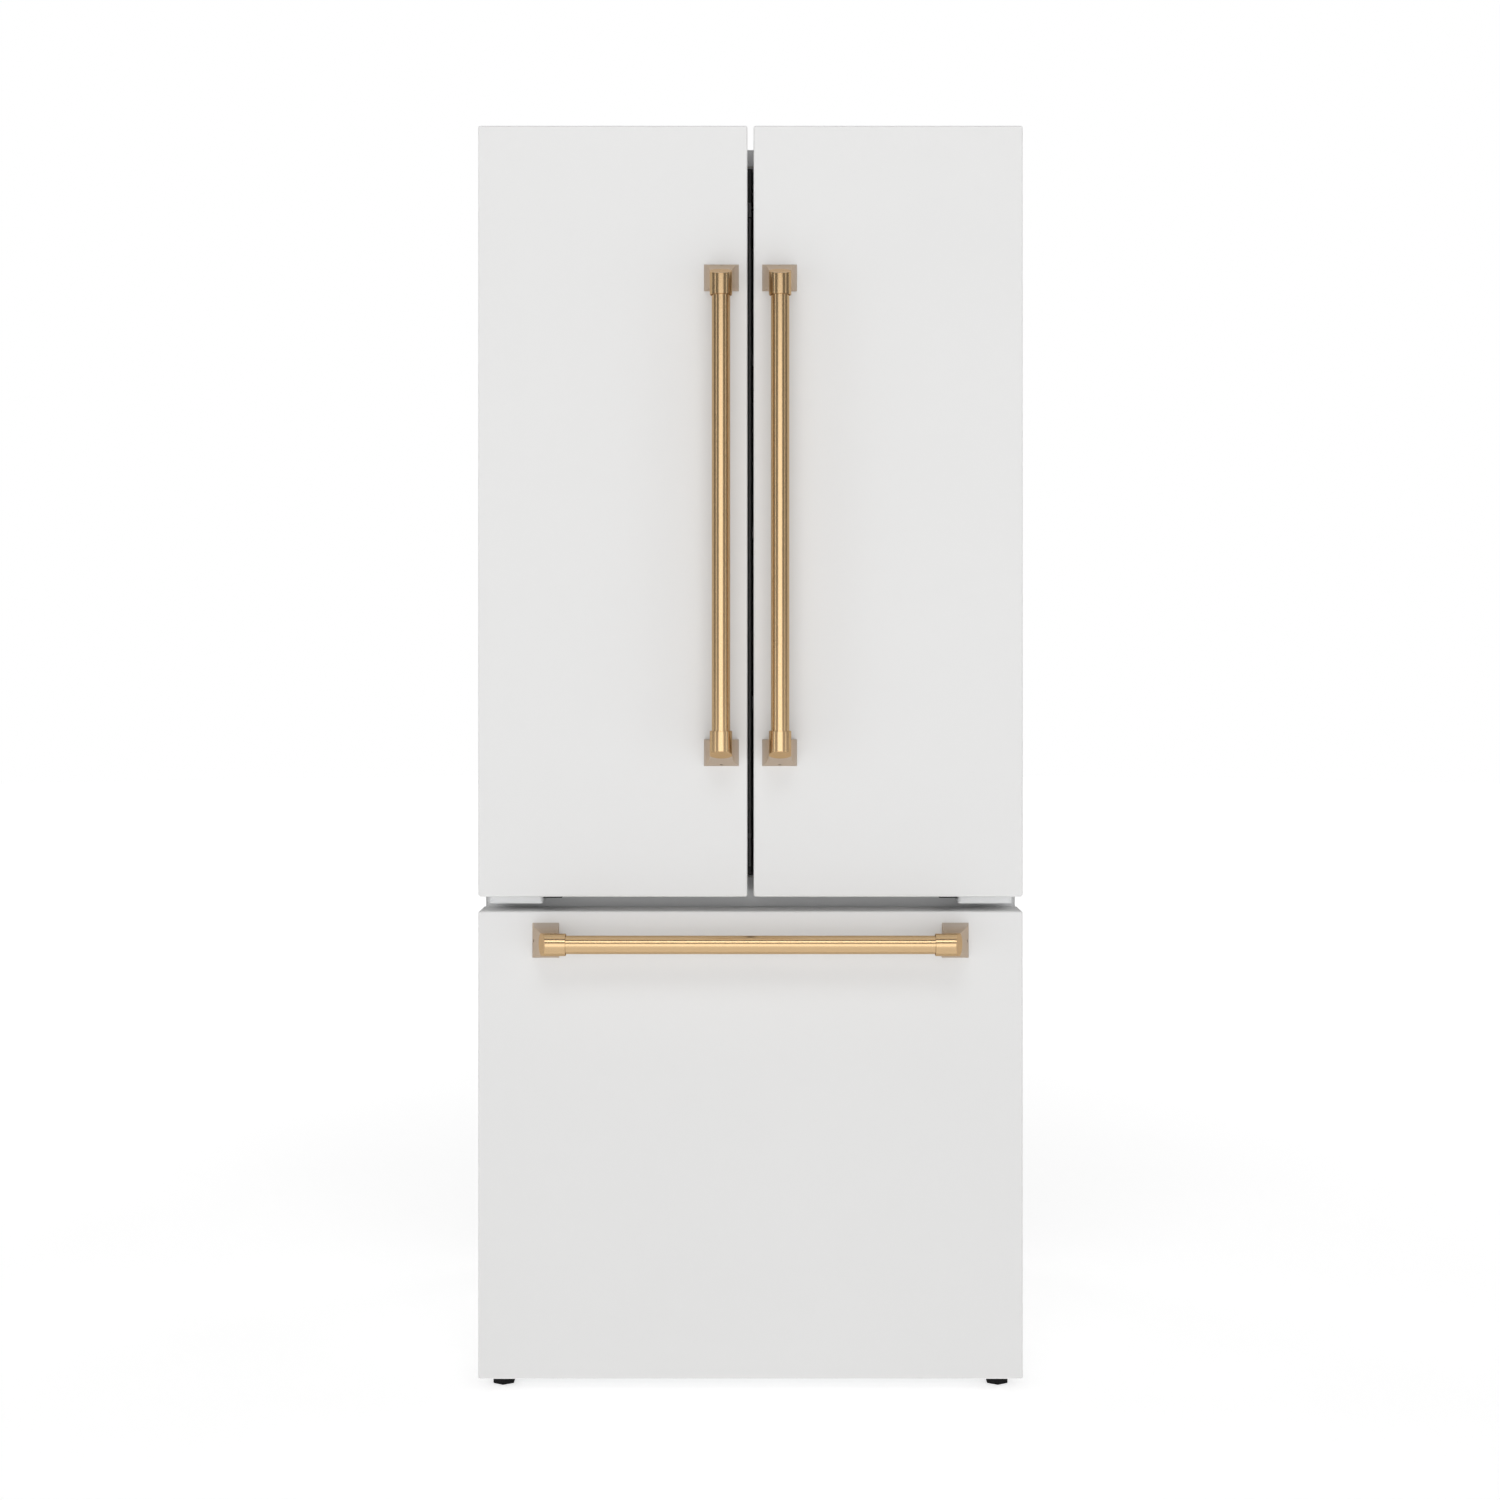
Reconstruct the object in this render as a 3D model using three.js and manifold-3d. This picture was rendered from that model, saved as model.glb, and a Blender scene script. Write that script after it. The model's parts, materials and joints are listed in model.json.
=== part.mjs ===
// French door refrigerator: two fresh food doors over one freezer drawer.
// Millimetres, +Z up, the doors face -Y, and the origin is on the floor under the middle of the whole.
import * as THREE from "three";
import { mergeVertices } from "three/addons/utils/BufferGeometryUtils.js";
import Module from "manifold-3d";

const wasm = await Module();
wasm.setup();

// ---------- Driving sizes ----------

const gap = 0.3; // air left between pieces that touch
const steel = 1.5; // steel panels
const linerWall = 2; // formed plastic liners
const tubWall = 3; // bins, baskets and crispers

// Whole object
const width = 755.65; // over the two doors
const height = 1770; // floor to the top of the doors
const caseStep = 1.825; // case side in from the doors' outer edge
const caseDepth = 655; // front frame to back panel
const caseDrop = 16.5; // the case top is this far below the door tops
const caseLift = 30; // floor to the lower edge of the case

// Doors and drawer front
const doorThickness = 62;
const doorGap = 8.7; // seam between the doors
const bandGap = 20; // seam between the doors and the drawer
const drawerBottom = 31;
const drawerHeight = 649;
const edgeRadius = 3; // upright front edges of the painted skins
const hingeInset = 20; // door's outer edge to its hinge axis
const hingeSetback = 40; // door's front face to its hinge axis
const dikeDepth = 38; // the inner panel's raised rim
const dikeWall = 22;
const dikeHingeInset = 33; // hinge axis to the raised rim
const dikeFreeInset = 58; // door's free edge to the raised rim
const dikeEndInset = 15; // raised rim inside the cavity's floor and ceiling

// Seals
const sealDepth = 13; // door's inner face to the front frame
const sealWidth = 12;
const sealFreeInset = 7;
const sealHingeInset = 4; // from the hinge axis
const sealEndInset = 1.5; // from the door's lower edge
const sealTopInset = 3; // below the case top
const drawerSealInset = 5; // from the drawer's top edge

// Handles
const handleRadius = 12.5;
const handleStandoff = 50; // door's face to the bar's axis
const doorHandleRise = 181.5; // door's lower edge to the handle's lower end
const doorHandleDrop = 193; // door's top edge to its upper end
const doorHandleInset = 36; // door's free edge to the bar's axis
const drawerHandleInset = 75.325; // drawer's side edge to the handle's end
const drawerHandleDrop = 40; // drawer's top edge to the bar's axis
const ferruleWall = 2.45; // around the bar's clearance
const ferruleLength = 50.4; // from the handle's end
const bracketLength = 37;
const bracketWidth = 48.5;
const bracketSlant = 23; // how far the end face leans in at the bar's front
const boreDepth = 26;

// Insulated case
const wallSide = 40;
const wallTop = 24;
const wallBack = 55;
const floorRise = 20; // fresh food floor above the doors' lower edge
const railHeight = 66; // divider between the two cavities
const freezerFloor = 100;
const foamBottom = 50;
const bayDepth = 230; // compressor bay
const bayTop = 250;
const bayWall = 40; // foam over and before the bay
const evaporatorSpace = 75; // behind the freezer liner

// Hinges
const pinRadius = 5;
const pinClearance = 0.4;
const pinReach = 15; // into the door
const hingePlate = 4;
const armHalfWidth = 6.5;
const notchClearance = 4; // corner notch's floor below the case top
const notchFront = 20; // notch's front face in from the door's front
const notchInner = 20; // notch's inner face beyond the hinge axis
const topHingeWidth = 62;
const topHingeDepth = 80; // back from the case front
const topHingeSetback = 6; // plate behind the case front
const topHingeInset = 8; // plate in from the case side
const hingeCoverHeight = 10;
const hingeCoverWidth = 74;
const hingeCoverMargin = 8; // cover behind the hinge plate
const hingeCoverSide = 2; // cover in from the case side
const centreCoverWidth = 75.6;
const centreCoverInset = 13.2; // from the door's outer edge
const centreCoverSetback = 18; // from the door's front face
const centreCoverRise = 9; // above the drawer's top
const centreCoverHeight = 9.2;

// Folding mullion
const mullionThickness = 20;
const mullionPivot = 48; // left of the middle
const mullionTip = 1.8; // right of the middle at its front face
const mullionTipBack = -0.7; // and at its back face
const mullionEndGap = 1; // from the liner's floor and ceiling
const mullionPinRadius = 3;

// Fresh food compartment
const shelfSetback = 125; // case front to the shelves' front edge
const shelfThickness = 6;
const shelfTrim = 20;
const sideClearance = 1.5; // shelf to liner
const ledgeWidth = 7;
const ledgeHeight = 10;
const coverRise = 247; // crisper cover above the compartment's floor
const crisperHeight = 205;
const crisperSideGap = 12.7; // to the liner
const crisperInner = 5; // from the middle
const crisperSetback = 125; // case front to the crisper's front
const crisperRearGap = 51;
const crisperLift = 2;
const ductWidth = 180;
const ductDepth = 26;
const ductTopGap = 20;

// Door bins
const binLevels = { lower: 60, upper: 500 }; // above the door's lower edge
const binHeight = 115;
const binDepth = 112;
const binClearance = 1;

// Freezer drawer
const armHeight = 26;
const armThickness = 9;
const armLevel = 400;
const armRearGap = 65; // to the freezer's rear wall
const railThickness = 4;
const railClearance = 1;
const railRearGap = 78;
const railStart = 14; // behind the case front
const basketHeight = 278;
const basketRearGap = 32;
const basketRim = 8;
const basketSetback = 34; // behind the drawer's inner panel
const trayHeight = 111;
const trayOverhang = 4; // beyond the basket's sides, onto its rim

// Machinery
const fanBore = 3.3;
const fanShaft = 3;
const condenserTop = 215;
const condenserLength = 180;
const condenserHalfDepth = 70;
const condenserFanGap = 30; // fan to the fins
const condenserFins = 18;
const evaporatorTop = 490;
const evaporatorHalf = 235;
const evaporatorFins = 24;
const finThickness = 2.4;
const tubePlate = 8; // joins the fins at their ends
const tubePlateInset = 6;
const compressorOffset = 190; // right of the middle
const compressorRadius = 78;
const compressorHeight = 172;
const rollerRadius = 18;
const rollerWidth = 16;
const rollerSideInset = 76; // from the case side
const rollerInset = 60; // from the back
const footRadius = 17; // over the hexagon's corners
const footHeight = 20;
const footStem = 6;
const footSideInset = 25; // from the case side
const footSetback = 11; // behind the case front
const grilleSideGap = 25; // to the feet's middle
const grilleDepth = 8;
const grilleBottom = 10;

// ---------- Planes worked out from them ----------

const ferruleRadius = handleRadius + gap + ferruleWall;
const reach = handleStandoff + ferruleRadius + gap; // handles before the doors
const yFront = -(reach + doorThickness + sealDepth + caseDepth) / 2 + reach;
const yInner = yFront + doorThickness; // inner face of the doors
const yCase = yInner + sealDepth; // front of the case
const yBack = yCase + caseDepth;
const zDoor = drawerBottom + drawerHeight + bandGap;
const zCaseTop = height - caseDrop;
const doorWidth = (width - doorGap) / 2;
const doorHeight = height - zDoor;
const halfCase = width / 2 - caseStep;
const halfCavity = halfCase - wallSide;
const halfLiner = halfCavity - gap - linerWall; // inner face of both liners
const zFresh = zDoor + floorRise;
const zFreshTop = zCaseTop - wallTop;
const zFreezerTop = zFresh - railHeight;
const yFoamFront = yCase + steel + gap;
const yCavityBack = yBack - wallBack;
const yFreezerWall = yCavityBack - evaporatorSpace;
const yHump = yBack - bayDepth - bayWall;
const zHump = bayTop + bayWall;
const freshBack = yCavityBack - gap - linerWall;
const hingeX = width / 2 - hingeInset;
const coverLevel = zFresh + coverRise;
const shelfSpacing = (zFreshTop - coverLevel) / 3;
const shelfLevels = { lower: coverLevel + shelfSpacing, upper: coverLevel + 2 * shelfSpacing };
const freezerBack = yFreezerWall - gap - linerWall; // the freezer liner's rear wall
const footOffset = halfCase - footSideInset;
const rollerOffset = halfCase - rollerSideInset;
const grilleHalf = footOffset - grilleSideGap;
const yHinge = yFront + hingeSetback;
const notchDepth = caseDrop + notchClearance;

// ---------- Helpers ----------

const [X, Y, Z] = [[1, 0, 0], [0, 1, 0], [0, 0, 1]].map((v) => new THREE.Vector3(...v));
const turnTo = {
  x: new THREE.Matrix4().makeBasis(Y, Z, X),
  y: new THREE.Matrix4().makeBasis(Z, X, Y),
  z: new THREE.Matrix4(),
};

const ordered = ([a, b]) => [Math.min(a, b), Math.max(a, b)];

// Box between two limits along each axis.
function block(xs, ys, zs) {
  const [x, y, z] = [xs, ys, zs].map(ordered);
  const box = new THREE.BoxGeometry(x[1] - x[0], y[1] - y[0], z[1] - z[0]);
  return box.translate((x[0] + x[1]) / 2, (y[0] + y[1]) / 2, (z[0] + z[1]) / 2);
}

// Outline carried along an axis. Its points are (y, z) for x, (z, x) for y and (x, y) for z.
function prism(outline, axis, [from, to]) {
  const points = Array.isArray(outline) ? outline.map(([a, b]) => new THREE.Vector2(a, b)) : null;
  const shape = points ? new THREE.Shape(points) : outline;
  const form = new THREE.ExtrudeGeometry(shape, { depth: to - from, bevelEnabled: false, curveSegments: 6 });
  return form.translate(0, 0, from).applyMatrix4(turnTo[axis]);
}

// Cylinder along an axis, through (a, b) in the same order as a prism's points.
function rod(axis, radius, [from, to], a = 0, b = 0, sides = 32) {
  const form = new THREE.CylinderGeometry(radius, radius, to - from, sides);
  form.rotateX(Math.PI / 2).translate(a, b, (from + to) / 2);
  return form.applyMatrix4(turnTo[axis]);
}

// Closed surface turned about Z from (radius, z) points that start and end on the axis.
function turned(profile, sides = 32) {
  const points = profile.map(([r, z]) => new THREE.Vector2(r, z));
  return new THREE.LatheGeometry(points, sides).rotateX(Math.PI / 2);
}

function solid(form) {
  if (!form.isBufferGeometry) return form;
  const bare = form.clone();
  bare.deleteAttribute("normal");
  bare.deleteAttribute("uv");
  const merged = mergeVertices(bare, 1e-3);
  const surface = new wasm.Mesh({
    numProp: 3,
    vertProperties: merged.attributes.position.array,
    triVerts: Uint32Array.from(merged.index.array),
  });
  return new wasm.Manifold(surface);
}

const join = (...forms) => forms.map(solid).reduce((a, b) => a.add(b));
const cut = (form, ...tools) => tools.map(solid).reduce((a, b) => a.subtract(b), solid(form));

function asGeometry(form) {
  if (form.isBufferGeometry) return form;
  const { vertProperties, triVerts } = form.getMesh();
  const shared = new THREE.BufferGeometry();
  shared.setAttribute("position", new THREE.BufferAttribute(vertProperties, 3));
  shared.setIndex(new THREE.BufferAttribute(triVerts, 1));
  const flat = shared.toNonIndexed();
  flat.computeVertexNormals();
  return flat;
}

const finishes = {
  whitePaint: { color: 0xe9e9e7, roughness: 0.55, metalness: 0 },
  greyPaint: { color: 0xb9bbbc, roughness: 0.5, metalness: 0.2 },
  bronze: { color: 0xb49870, roughness: 0.32, metalness: 1 },
  whitePlastic: { color: 0xf2f2f0, roughness: 0.4, metalness: 0 },
  clearPlastic: { color: 0xdfe8ea, roughness: 0.15, metalness: 0 },
  seal: { color: 0x8f9192, roughness: 0.75, metalness: 0 },
  blackPlastic: { color: 0x141414, roughness: 0.5, metalness: 0 },
  foam: { color: 0xe6d9a8, roughness: 0.9, metalness: 0 },
  zinc: { color: 0xb4b6b8, roughness: 0.35, metalness: 0.9 },
  aluminium: { color: 0xc9cbcd, roughness: 0.4, metalness: 0.9 },
  blackPaint: { color: 0x18191a, roughness: 0.45, metalness: 0.3 },
  glass: { color: 0xcfe3dc, roughness: 0.05, metalness: 0 },
};

function add(group, name, finish, form) {
  const mesh = new THREE.Mesh(asGeometry(form), new THREE.MeshStandardMaterial(finishes[finish]));
  mesh.name = name;
  group.add(mesh);
  return mesh;
}

// Box open on one side: the inner space runs out through the limit that is passed.
function tub(xs, ys, zs, inner) {
  return cut(block(xs, ys, zs), block(...inner));
}

// ---------- Case ----------

const cabinet = new THREE.Group();
const bothSides = { left: -1, right: 1 };
const across = (half) => [-half, half];
const halfInside = halfCase - steel - gap; // within the side panels

for (const [side, s] of Object.entries(bothSides)) {
  const panel = block([s * halfCase, s * (halfCase - steel)], [yCase, yBack], [caseLift, zCaseTop - steel - gap]);
  add(cabinet, `side_panel_${side}`, "whitePaint", panel);
}
add(cabinet, "top_panel", "whitePaint", block(across(halfCase), [yCase, yBack], [zCaseTop - steel, zCaseTop]));
add(
  cabinet,
  "back_panel",
  "greyPaint",
  block(across(halfInside), [yBack - steel, yBack], [bayTop + 1, zCaseTop - steel - gap]),
);

// Outline of the freezer cavity seen from the side, stepping up over the compressor bay.
// It is drawn inset from the cavity, and runs out through the front.
function freezerOutline(inset, yWall) {
  const yStep = yHump - inset;
  return [
    [yCase - 1, freezerFloor + inset],
    [yStep, freezerFloor + inset],
    [yStep, zHump + inset],
    [yWall - inset, zHump + inset],
    [yWall - inset, zFreezerTop - inset],
    [yCase - 1, zFreezerTop - inset],
  ];
}

const freshCavity = block(across(halfCavity), [yCase - 1, yCavityBack], [zFresh, zFreshTop]);
const freezerCavity = prism(freezerOutline(0, yCavityBack), "x", across(halfCavity));
const bay = block(across(halfCase), [yBack - bayDepth, yBack + 1], [0, bayTop]);
const foamBlock = block(
  across(halfInside),
  [yFoamFront, yBack - steel - gap],
  [foamBottom, zCaseTop - steel - gap],
);
add(cabinet, "cabinet_insulation", "foam", cut(foamBlock, freshCavity, freezerCavity, bay));

const frame = block(across(halfInside), [yCase, yCase + steel], [foamBottom, zCaseTop - steel - gap]);
add(cabinet, "front_frame", "greyPaint", cut(frame, freshCavity, freezerCavity));

// Shelf ledges stand on the side walls of the fresh food liner.
function freshLiner() {
  const outer = halfCavity - gap;
  const zs = [zFresh + gap, zFreshTop - gap];
  const front = yFoamFront;
  const shell = tub(across(outer), [front, yCavityBack - gap], zs, [
    across(halfLiner),
    [front - 1, freshBack],
    [zs[0] + linerWall, zs[1] - linerWall],
  ]);
  const ledges = [];
  for (const level of [coverLevel, shelfLevels.lower, shelfLevels.upper])
    for (const s of [-1, 1])
      ledges.push(
        block(
          [s * (halfLiner - ledgeWidth), s * (halfLiner + linerWall / 2)],
          [yCase + shelfSetback + shelfTrim, freshBack - ductDepth],
          [level - ledgeHeight - gap, level - gap],
        ),
      );
  return join(shell, ...ledges);
}
add(cabinet, "fresh_food_liner", "whitePlastic", freshLiner());

// The fixed rails stand on the side walls, and the fan's opening is bridged by its motor's strut.
const evaporatorFanZ = 570;
const fanOpening = 62;
const motorRadius = 16;
const motorFront = 4;
const railCentre = armLevel + armHeight / 2;
const railYs = [yCase + railStart, freezerBack - railRearGap];
const fixedRailDepth = 7;
const fixedRailLip = 3; // above and below the slide's arm
const strutHalf = 6;
const evaporatorShaftReach = 32;
const fixedRailFace = halfLiner - fixedRailDepth;
const yFanWall = yFreezerWall - gap;
function freezerLiner() {
  const outer = prism(freezerOutline(gap, yFreezerWall), "x", across(halfCavity - gap));
  const inner = prism(freezerOutline(gap + linerWall, yFreezerWall), "x", across(halfLiner));
  const front = block(across(halfCase), [yCase - 2, yFoamFront], [0, zFresh]);
  const opening = rod("y", fanOpening, [yFanWall - 2 * linerWall, yFanWall + 1], evaporatorFanZ, 0);
  const strutYs = [yFanWall - linerWall, yFanWall];
  const strut = block(across(fanOpening + 4), strutYs, [evaporatorFanZ - strutHalf, evaporatorFanZ + strutHalf]);
  const motor = rod("y", motorRadius, [strutYs[0] - motorFront, strutYs[1]], evaporatorFanZ, 0);
  const shaft = rod("y", fanShaft, [strutYs[0], yFanWall + evaporatorShaftReach], evaporatorFanZ, 0, 16);
  const rails = [-1, 1].map((s) =>
    block(
      [s * fixedRailFace, s * (halfLiner + linerWall / 2)],
      railYs,
      [armLevel - fixedRailLip, armLevel + armHeight + fixedRailLip],
    ),
  );
  return join(cut(outer, inner, front, opening), strut, motor, shaft, ...rails);
}
add(cabinet, "freezer_liner", "whitePlastic", freezerLiner());

// Base pan: notched for the toe grille, bored for the feet, slotted for the rollers.
const panTop = caseLift + 3;
const yRoller = yBack - rollerInset;
const rollerEar = 3;
const earRadius = 10;
const axleRadius = 4;
const rollerSlot = rollerWidth / 2 + 2;
const fanX = -70;
const fanZ = 118;
const bayMiddle = yBack - bayDepth / 2;
const fanMotorLength = 34;
const fanMotorRadius = 24;
const fanMotorGap = 14; // behind the fan's middle
function basePan() {
  const plate = block(across(halfInside), [yCase + 1, yBack - steel - 2 * gap], [caseLift, panTop]);
  const grilleNotch = block(across(grilleHalf + 2), [yCase, yCase + grilleDepth + 1], [0, panTop + 1]);
  const cuts = [grilleNotch];
  const adds = [];
  for (const s of [-1, 1]) {
    const x = s * rollerOffset;
    cuts.push(rod("z", footStem + pinClearance, [0, panTop + 1], s * footOffset, yCase + footSetback, 24));
    cuts.push(
      block([x - rollerSlot, x + rollerSlot], [yRoller - rollerRadius - 3, yRoller + rollerRadius + 3], [0, 40]),
    );
    for (const e of [-1, 1]) {
      const xs = ordered([x + e * rollerSlot, x + e * (rollerSlot + rollerEar)]);
      const ear = join(
        rod("x", earRadius, xs, yRoller, rollerRadius, 20),
        block(xs, [yRoller - earRadius, yRoller + earRadius], [rollerRadius, panTop - 1]),
      );
      adds.push(cut(ear, rod("x", axleRadius + pinClearance, [xs[0] - 1, xs[1] + 1], yRoller, rollerRadius, 16)));
    }
  }
  const motorXs = [fanX + fanMotorGap, fanX + fanMotorGap + fanMotorLength];
  const post = block([motorXs[0] + 6, motorXs[1] - 6], [bayMiddle - 12, bayMiddle + 12], [panTop - 1, fanZ]);
  const motor = rod("x", fanMotorRadius, motorXs, bayMiddle, fanZ, 24);
  const shaft = rod("x", fanShaft, [fanX - 12, motorXs[0] + 1], bayMiddle, fanZ, 16);
  return join(cut(plate, ...cuts), ...adds, post, motor, shaft);
}
add(cabinet, "base_pan", "zinc", basePan());

// Toe grille with a row of slots.
const grilleSlots = 11;
const grilleSlotZs = [18, 24];
const grilleMargin = 20; // before the first slot
function toeGrille() {
  const plate = block(across(grilleHalf), [yCase, yCase + grilleDepth], [grilleBottom, foamBottom - gap]);
  const pitch = (2 * (grilleHalf - grilleMargin)) / grilleSlots;
  const slots = Array.from({ length: grilleSlots }, (_, i) => {
    const x = -grilleHalf + grilleMargin + (i + 0.5) * pitch;
    return block([x - pitch * 0.4, x + pitch * 0.4], [yCase - 1, yCase + grilleDepth + 1], grilleSlotZs);
  });
  return cut(plate, ...slots);
}
add(cabinet, "toe_grille", "greyPaint", toeGrille());

// Rear cover of the compressor bay, with rows of vents.
const ventRows = 5;
const ventPitch = 26;
const ventColumns = [-230, 0, 230];
const ventHalf = 75;
const ventHeight = 6;
const ventStart = 50; // above the cover's lower edge
function rearCover() {
  const zs = [panTop + 2, bayTop];
  const plate = block(across(halfInside), [yBack - steel, yBack], zs);
  const vents = [];
  for (let row = 0; row < ventRows; row += 1)
    for (const x of ventColumns) {
      const z = zs[0] + ventStart + row * ventPitch;
      vents.push(block([x - ventHalf, x + ventHalf], [yBack - steel - 1, yBack + 1], [z, z + ventHeight]));
    }
  return cut(plate, ...vents);
}
add(cabinet, "rear_cover", "greyPaint", rearCover());

// ---------- Hinges ----------

// Plate on the case top with an arm forward to the pin, which hangs down into the door.
const armBottom = zCaseTop + gap;
function topHinge(s) {
  const zs = [armBottom, armBottom + hingePlate];
  const x = s * hingeX;
  const outer = s * (halfCase - topHingeInset);
  const plate = block([outer, outer - s * topHingeWidth], [yCase + topHingeSetback, yCase + topHingeDepth], zs);
  const arm = block([x - armHalfWidth, x + armHalfWidth], [yHinge, yCase + topHingeDepth / 2], zs);
  const nose = rod("z", armHalfWidth, zs, x, yHinge, 24);
  const pinBottom = height - notchDepth - pinReach;
  const pin = rod("z", pinRadius, [pinBottom, zs[1]], x, yHinge, 24);
  return join(plate, arm, nose, pin);
}

function hingeCover(s) {
  const base = armBottom + hingePlate + gap;
  const outer = s * (halfCase - hingeCoverSide);
  const xs = [outer, outer - s * hingeCoverWidth];
  const ys = [yCase, yCase + topHingeDepth + hingeCoverMargin];
  const skirt = block(xs, ys, [base, base + hingeCoverHeight]);
  const hollow = block(
    [xs[0] - s * tubWall, xs[1] + s * tubWall],
    [ys[0] + tubWall, ys[1] - tubWall],
    [base - 1, base + hingeCoverHeight - tubWall],
  );
  return cut(skirt, hollow);
}

// Covered bracket on the divider, with a pin up into the door.
const zCentreCover = zDoor - bandGap + centreCoverRise;
function centreHinge(s) {
  const x0 = s * (width / 2 - centreCoverInset);
  const zs = [zCentreCover, zCentreCover + centreCoverHeight];
  const body = block([x0, x0 - s * centreCoverWidth], [yFront + centreCoverSetback, yCase - gap], zs);
  const pin = rod("z", pinRadius, [zs[0] + 1, zDoor + pinReach], s * hingeX, yHinge, 24);
  return join(body, pin);
}

for (const [side, s] of Object.entries(bothSides)) {
  add(cabinet, `top_hinge_${side}`, "zinc", topHinge(s));
  add(cabinet, `hinge_cover_${side}`, "whitePlastic", hingeCover(s));
  add(cabinet, `centre_hinge_${side}`, "whitePlastic", centreHinge(s));
}

// ---------- Fresh food compartment ----------

const shelfYs = [yCase + shelfSetback, freshBack - ductDepth - 4];
function shelf(level) {
  const half = halfLiner - sideClearance;
  const pane = block(across(half), shelfYs, [level, level + shelfThickness]);
  const trims = [
    [shelfYs[0], shelfYs[0] + 14],
    [shelfYs[1] - 10, shelfYs[1]],
  ].map((ys) => block(across(half - ledgeWidth - 2), ys, [level - shelfTrim + shelfThickness, level + 9]));
  return join(pane, ...trims);
}
add(cabinet, "shelf_upper", "glass", shelf(shelfLevels.upper));
add(cabinet, "shelf_lower", "glass", shelf(shelfLevels.lower));

// The cover's middle web hangs between the two crispers.
function crisperCover() {
  const web = crisperInner - 1.5;
  const middle = block(across(web), [shelfYs[0], shelfYs[1]], [coverLevel - 60, coverLevel + 1]);
  return join(shelf(coverLevel), middle);
}
add(cabinet, "crisper_cover", "glass", crisperCover());

const ductOutlets = [0.5, 1.5, 2.5].map((n) => coverLevel + n * shelfSpacing);
function airDuct() {
  const zs = [coverLevel + 40, zFreshTop - ductTopGap];
  const ys = [freshBack - ductDepth, freshBack - gap];
  const column = block(across(ductWidth / 2), ys, zs);
  const hollow = block(across(ductWidth / 2 - 4), [ys[0] + 4, ys[1] + 1], [zs[0] + 4, zs[1] - 4]);
  const outlets = ductOutlets.flatMap((z) =>
    [-1, 1].map((s) => block([s * 20, s * 70], [ys[0] - 1, ys[0] + 5], [z, z + 14])),
  );
  return cut(column, hollow, ...outlets);
}
add(cabinet, "air_duct", "whitePlastic", airDuct());

function crisper(s) {
  const xs = ordered([s * crisperInner, s * (halfLiner - crisperSideGap)]);
  const ys = [yCase + crisperSetback, freshBack - crisperRearGap];
  const floor = zFresh + gap + linerWall + crisperLift;
  const zs = [floor, floor + crisperHeight];
  const shell = tub(xs, ys, zs, [
    [xs[0] + tubWall, xs[1] - tubWall],
    [ys[0] + tubWall, ys[1] - tubWall],
    [zs[0] + tubWall, zs[1] + 1],
  ]);
  const grip = prism(
    [
      [ys[0] + 1, zs[1] - 34],
      [ys[0] - 10, zs[1] - 22],
      [ys[0] - 10, zs[1]],
      [ys[0] + 1, zs[1]],
    ],
    "x",
    [xs[0] + 50, xs[1] - 50],
  );
  return join(shell, grip);
}
for (const [side, s] of Object.entries(bothSides)) add(cabinet, `crisper_${side}`, "clearPlastic", crisper(s));

// ---------- Machinery ----------

// Block of upright fins joined by a tube plate at the foot and the head.
function finned(xs, ys, zs, fins) {
  const pitch = (xs[1] - xs[0] - finThickness) / (fins - 1);
  const plates = [
    [zs[0], zs[0] + tubePlate],
    [zs[1] - tubePlate, zs[1]],
  ].map((band) => block(xs, [ys[0] + tubePlateInset, ys[1] - tubePlateInset], band));
  const blades = Array.from({ length: fins }, (_, i) => {
    const x = xs[0] + i * pitch;
    return block([x, x + finThickness], ys, zs);
  });
  return join(...plates, ...blades);
}
const condenserEnd = fanX - condenserFanGap;
const condenserXs = [condenserEnd - condenserLength, condenserEnd];
const condenserYs = [bayMiddle - condenserHalfDepth, bayMiddle + condenserHalfDepth];
const condenserZs = [panTop + gap, condenserTop];
add(cabinet, "condenser", "blackPaint", finned(condenserXs, condenserYs, condenserZs, condenserFins));
const evaporatorYs = [yFreezerWall + 6, yCavityBack - 8];
const evaporatorZs = [zHump + gap, evaporatorTop];
add(
  cabinet,
  "evaporator",
  "aluminium",
  finned(across(evaporatorHalf), evaporatorYs, evaporatorZs, evaporatorFins),
);

// Welded pot on a foot plate, with the electrical box on its side.
function compressor() {
  const r = compressorRadius;
  const h = compressorHeight;
  const pot = turned([
    [0, 14],
    [r * 0.72, 16],
    [r * 0.95, 34],
    [r * 0.97, h * 0.5 - 3],
    [r * 1.03, h * 0.5 - 3],
    [r * 1.03, h * 0.5 + 3],
    [r * 0.96, h * 0.5 + 3],
    [r * 0.92, h * 0.78],
    [r * 0.6, h * 0.96],
    [0, h],
  ]);
  const plate = block(across(r * 1.15), across(r * 0.8), [3, 20]);
  const box = block([r * 0.8, r * 1.35], across(26), [60, 112]);
  const stub = rod("z", 5, [h * 0.8, h + 22], -r * 0.45, 0, 16);
  return join(pot, plate, box, stub);
}
const compressorMesh = add(cabinet, "compressor", "blackPaint", compressor());
compressorMesh.position.set(compressorOffset, bayMiddle, panTop + gap);

const bladeWidth = 34;
const bladeThickness = 2;
const bladePitch = 0.5; // radians
const fanHub = 20;

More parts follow.
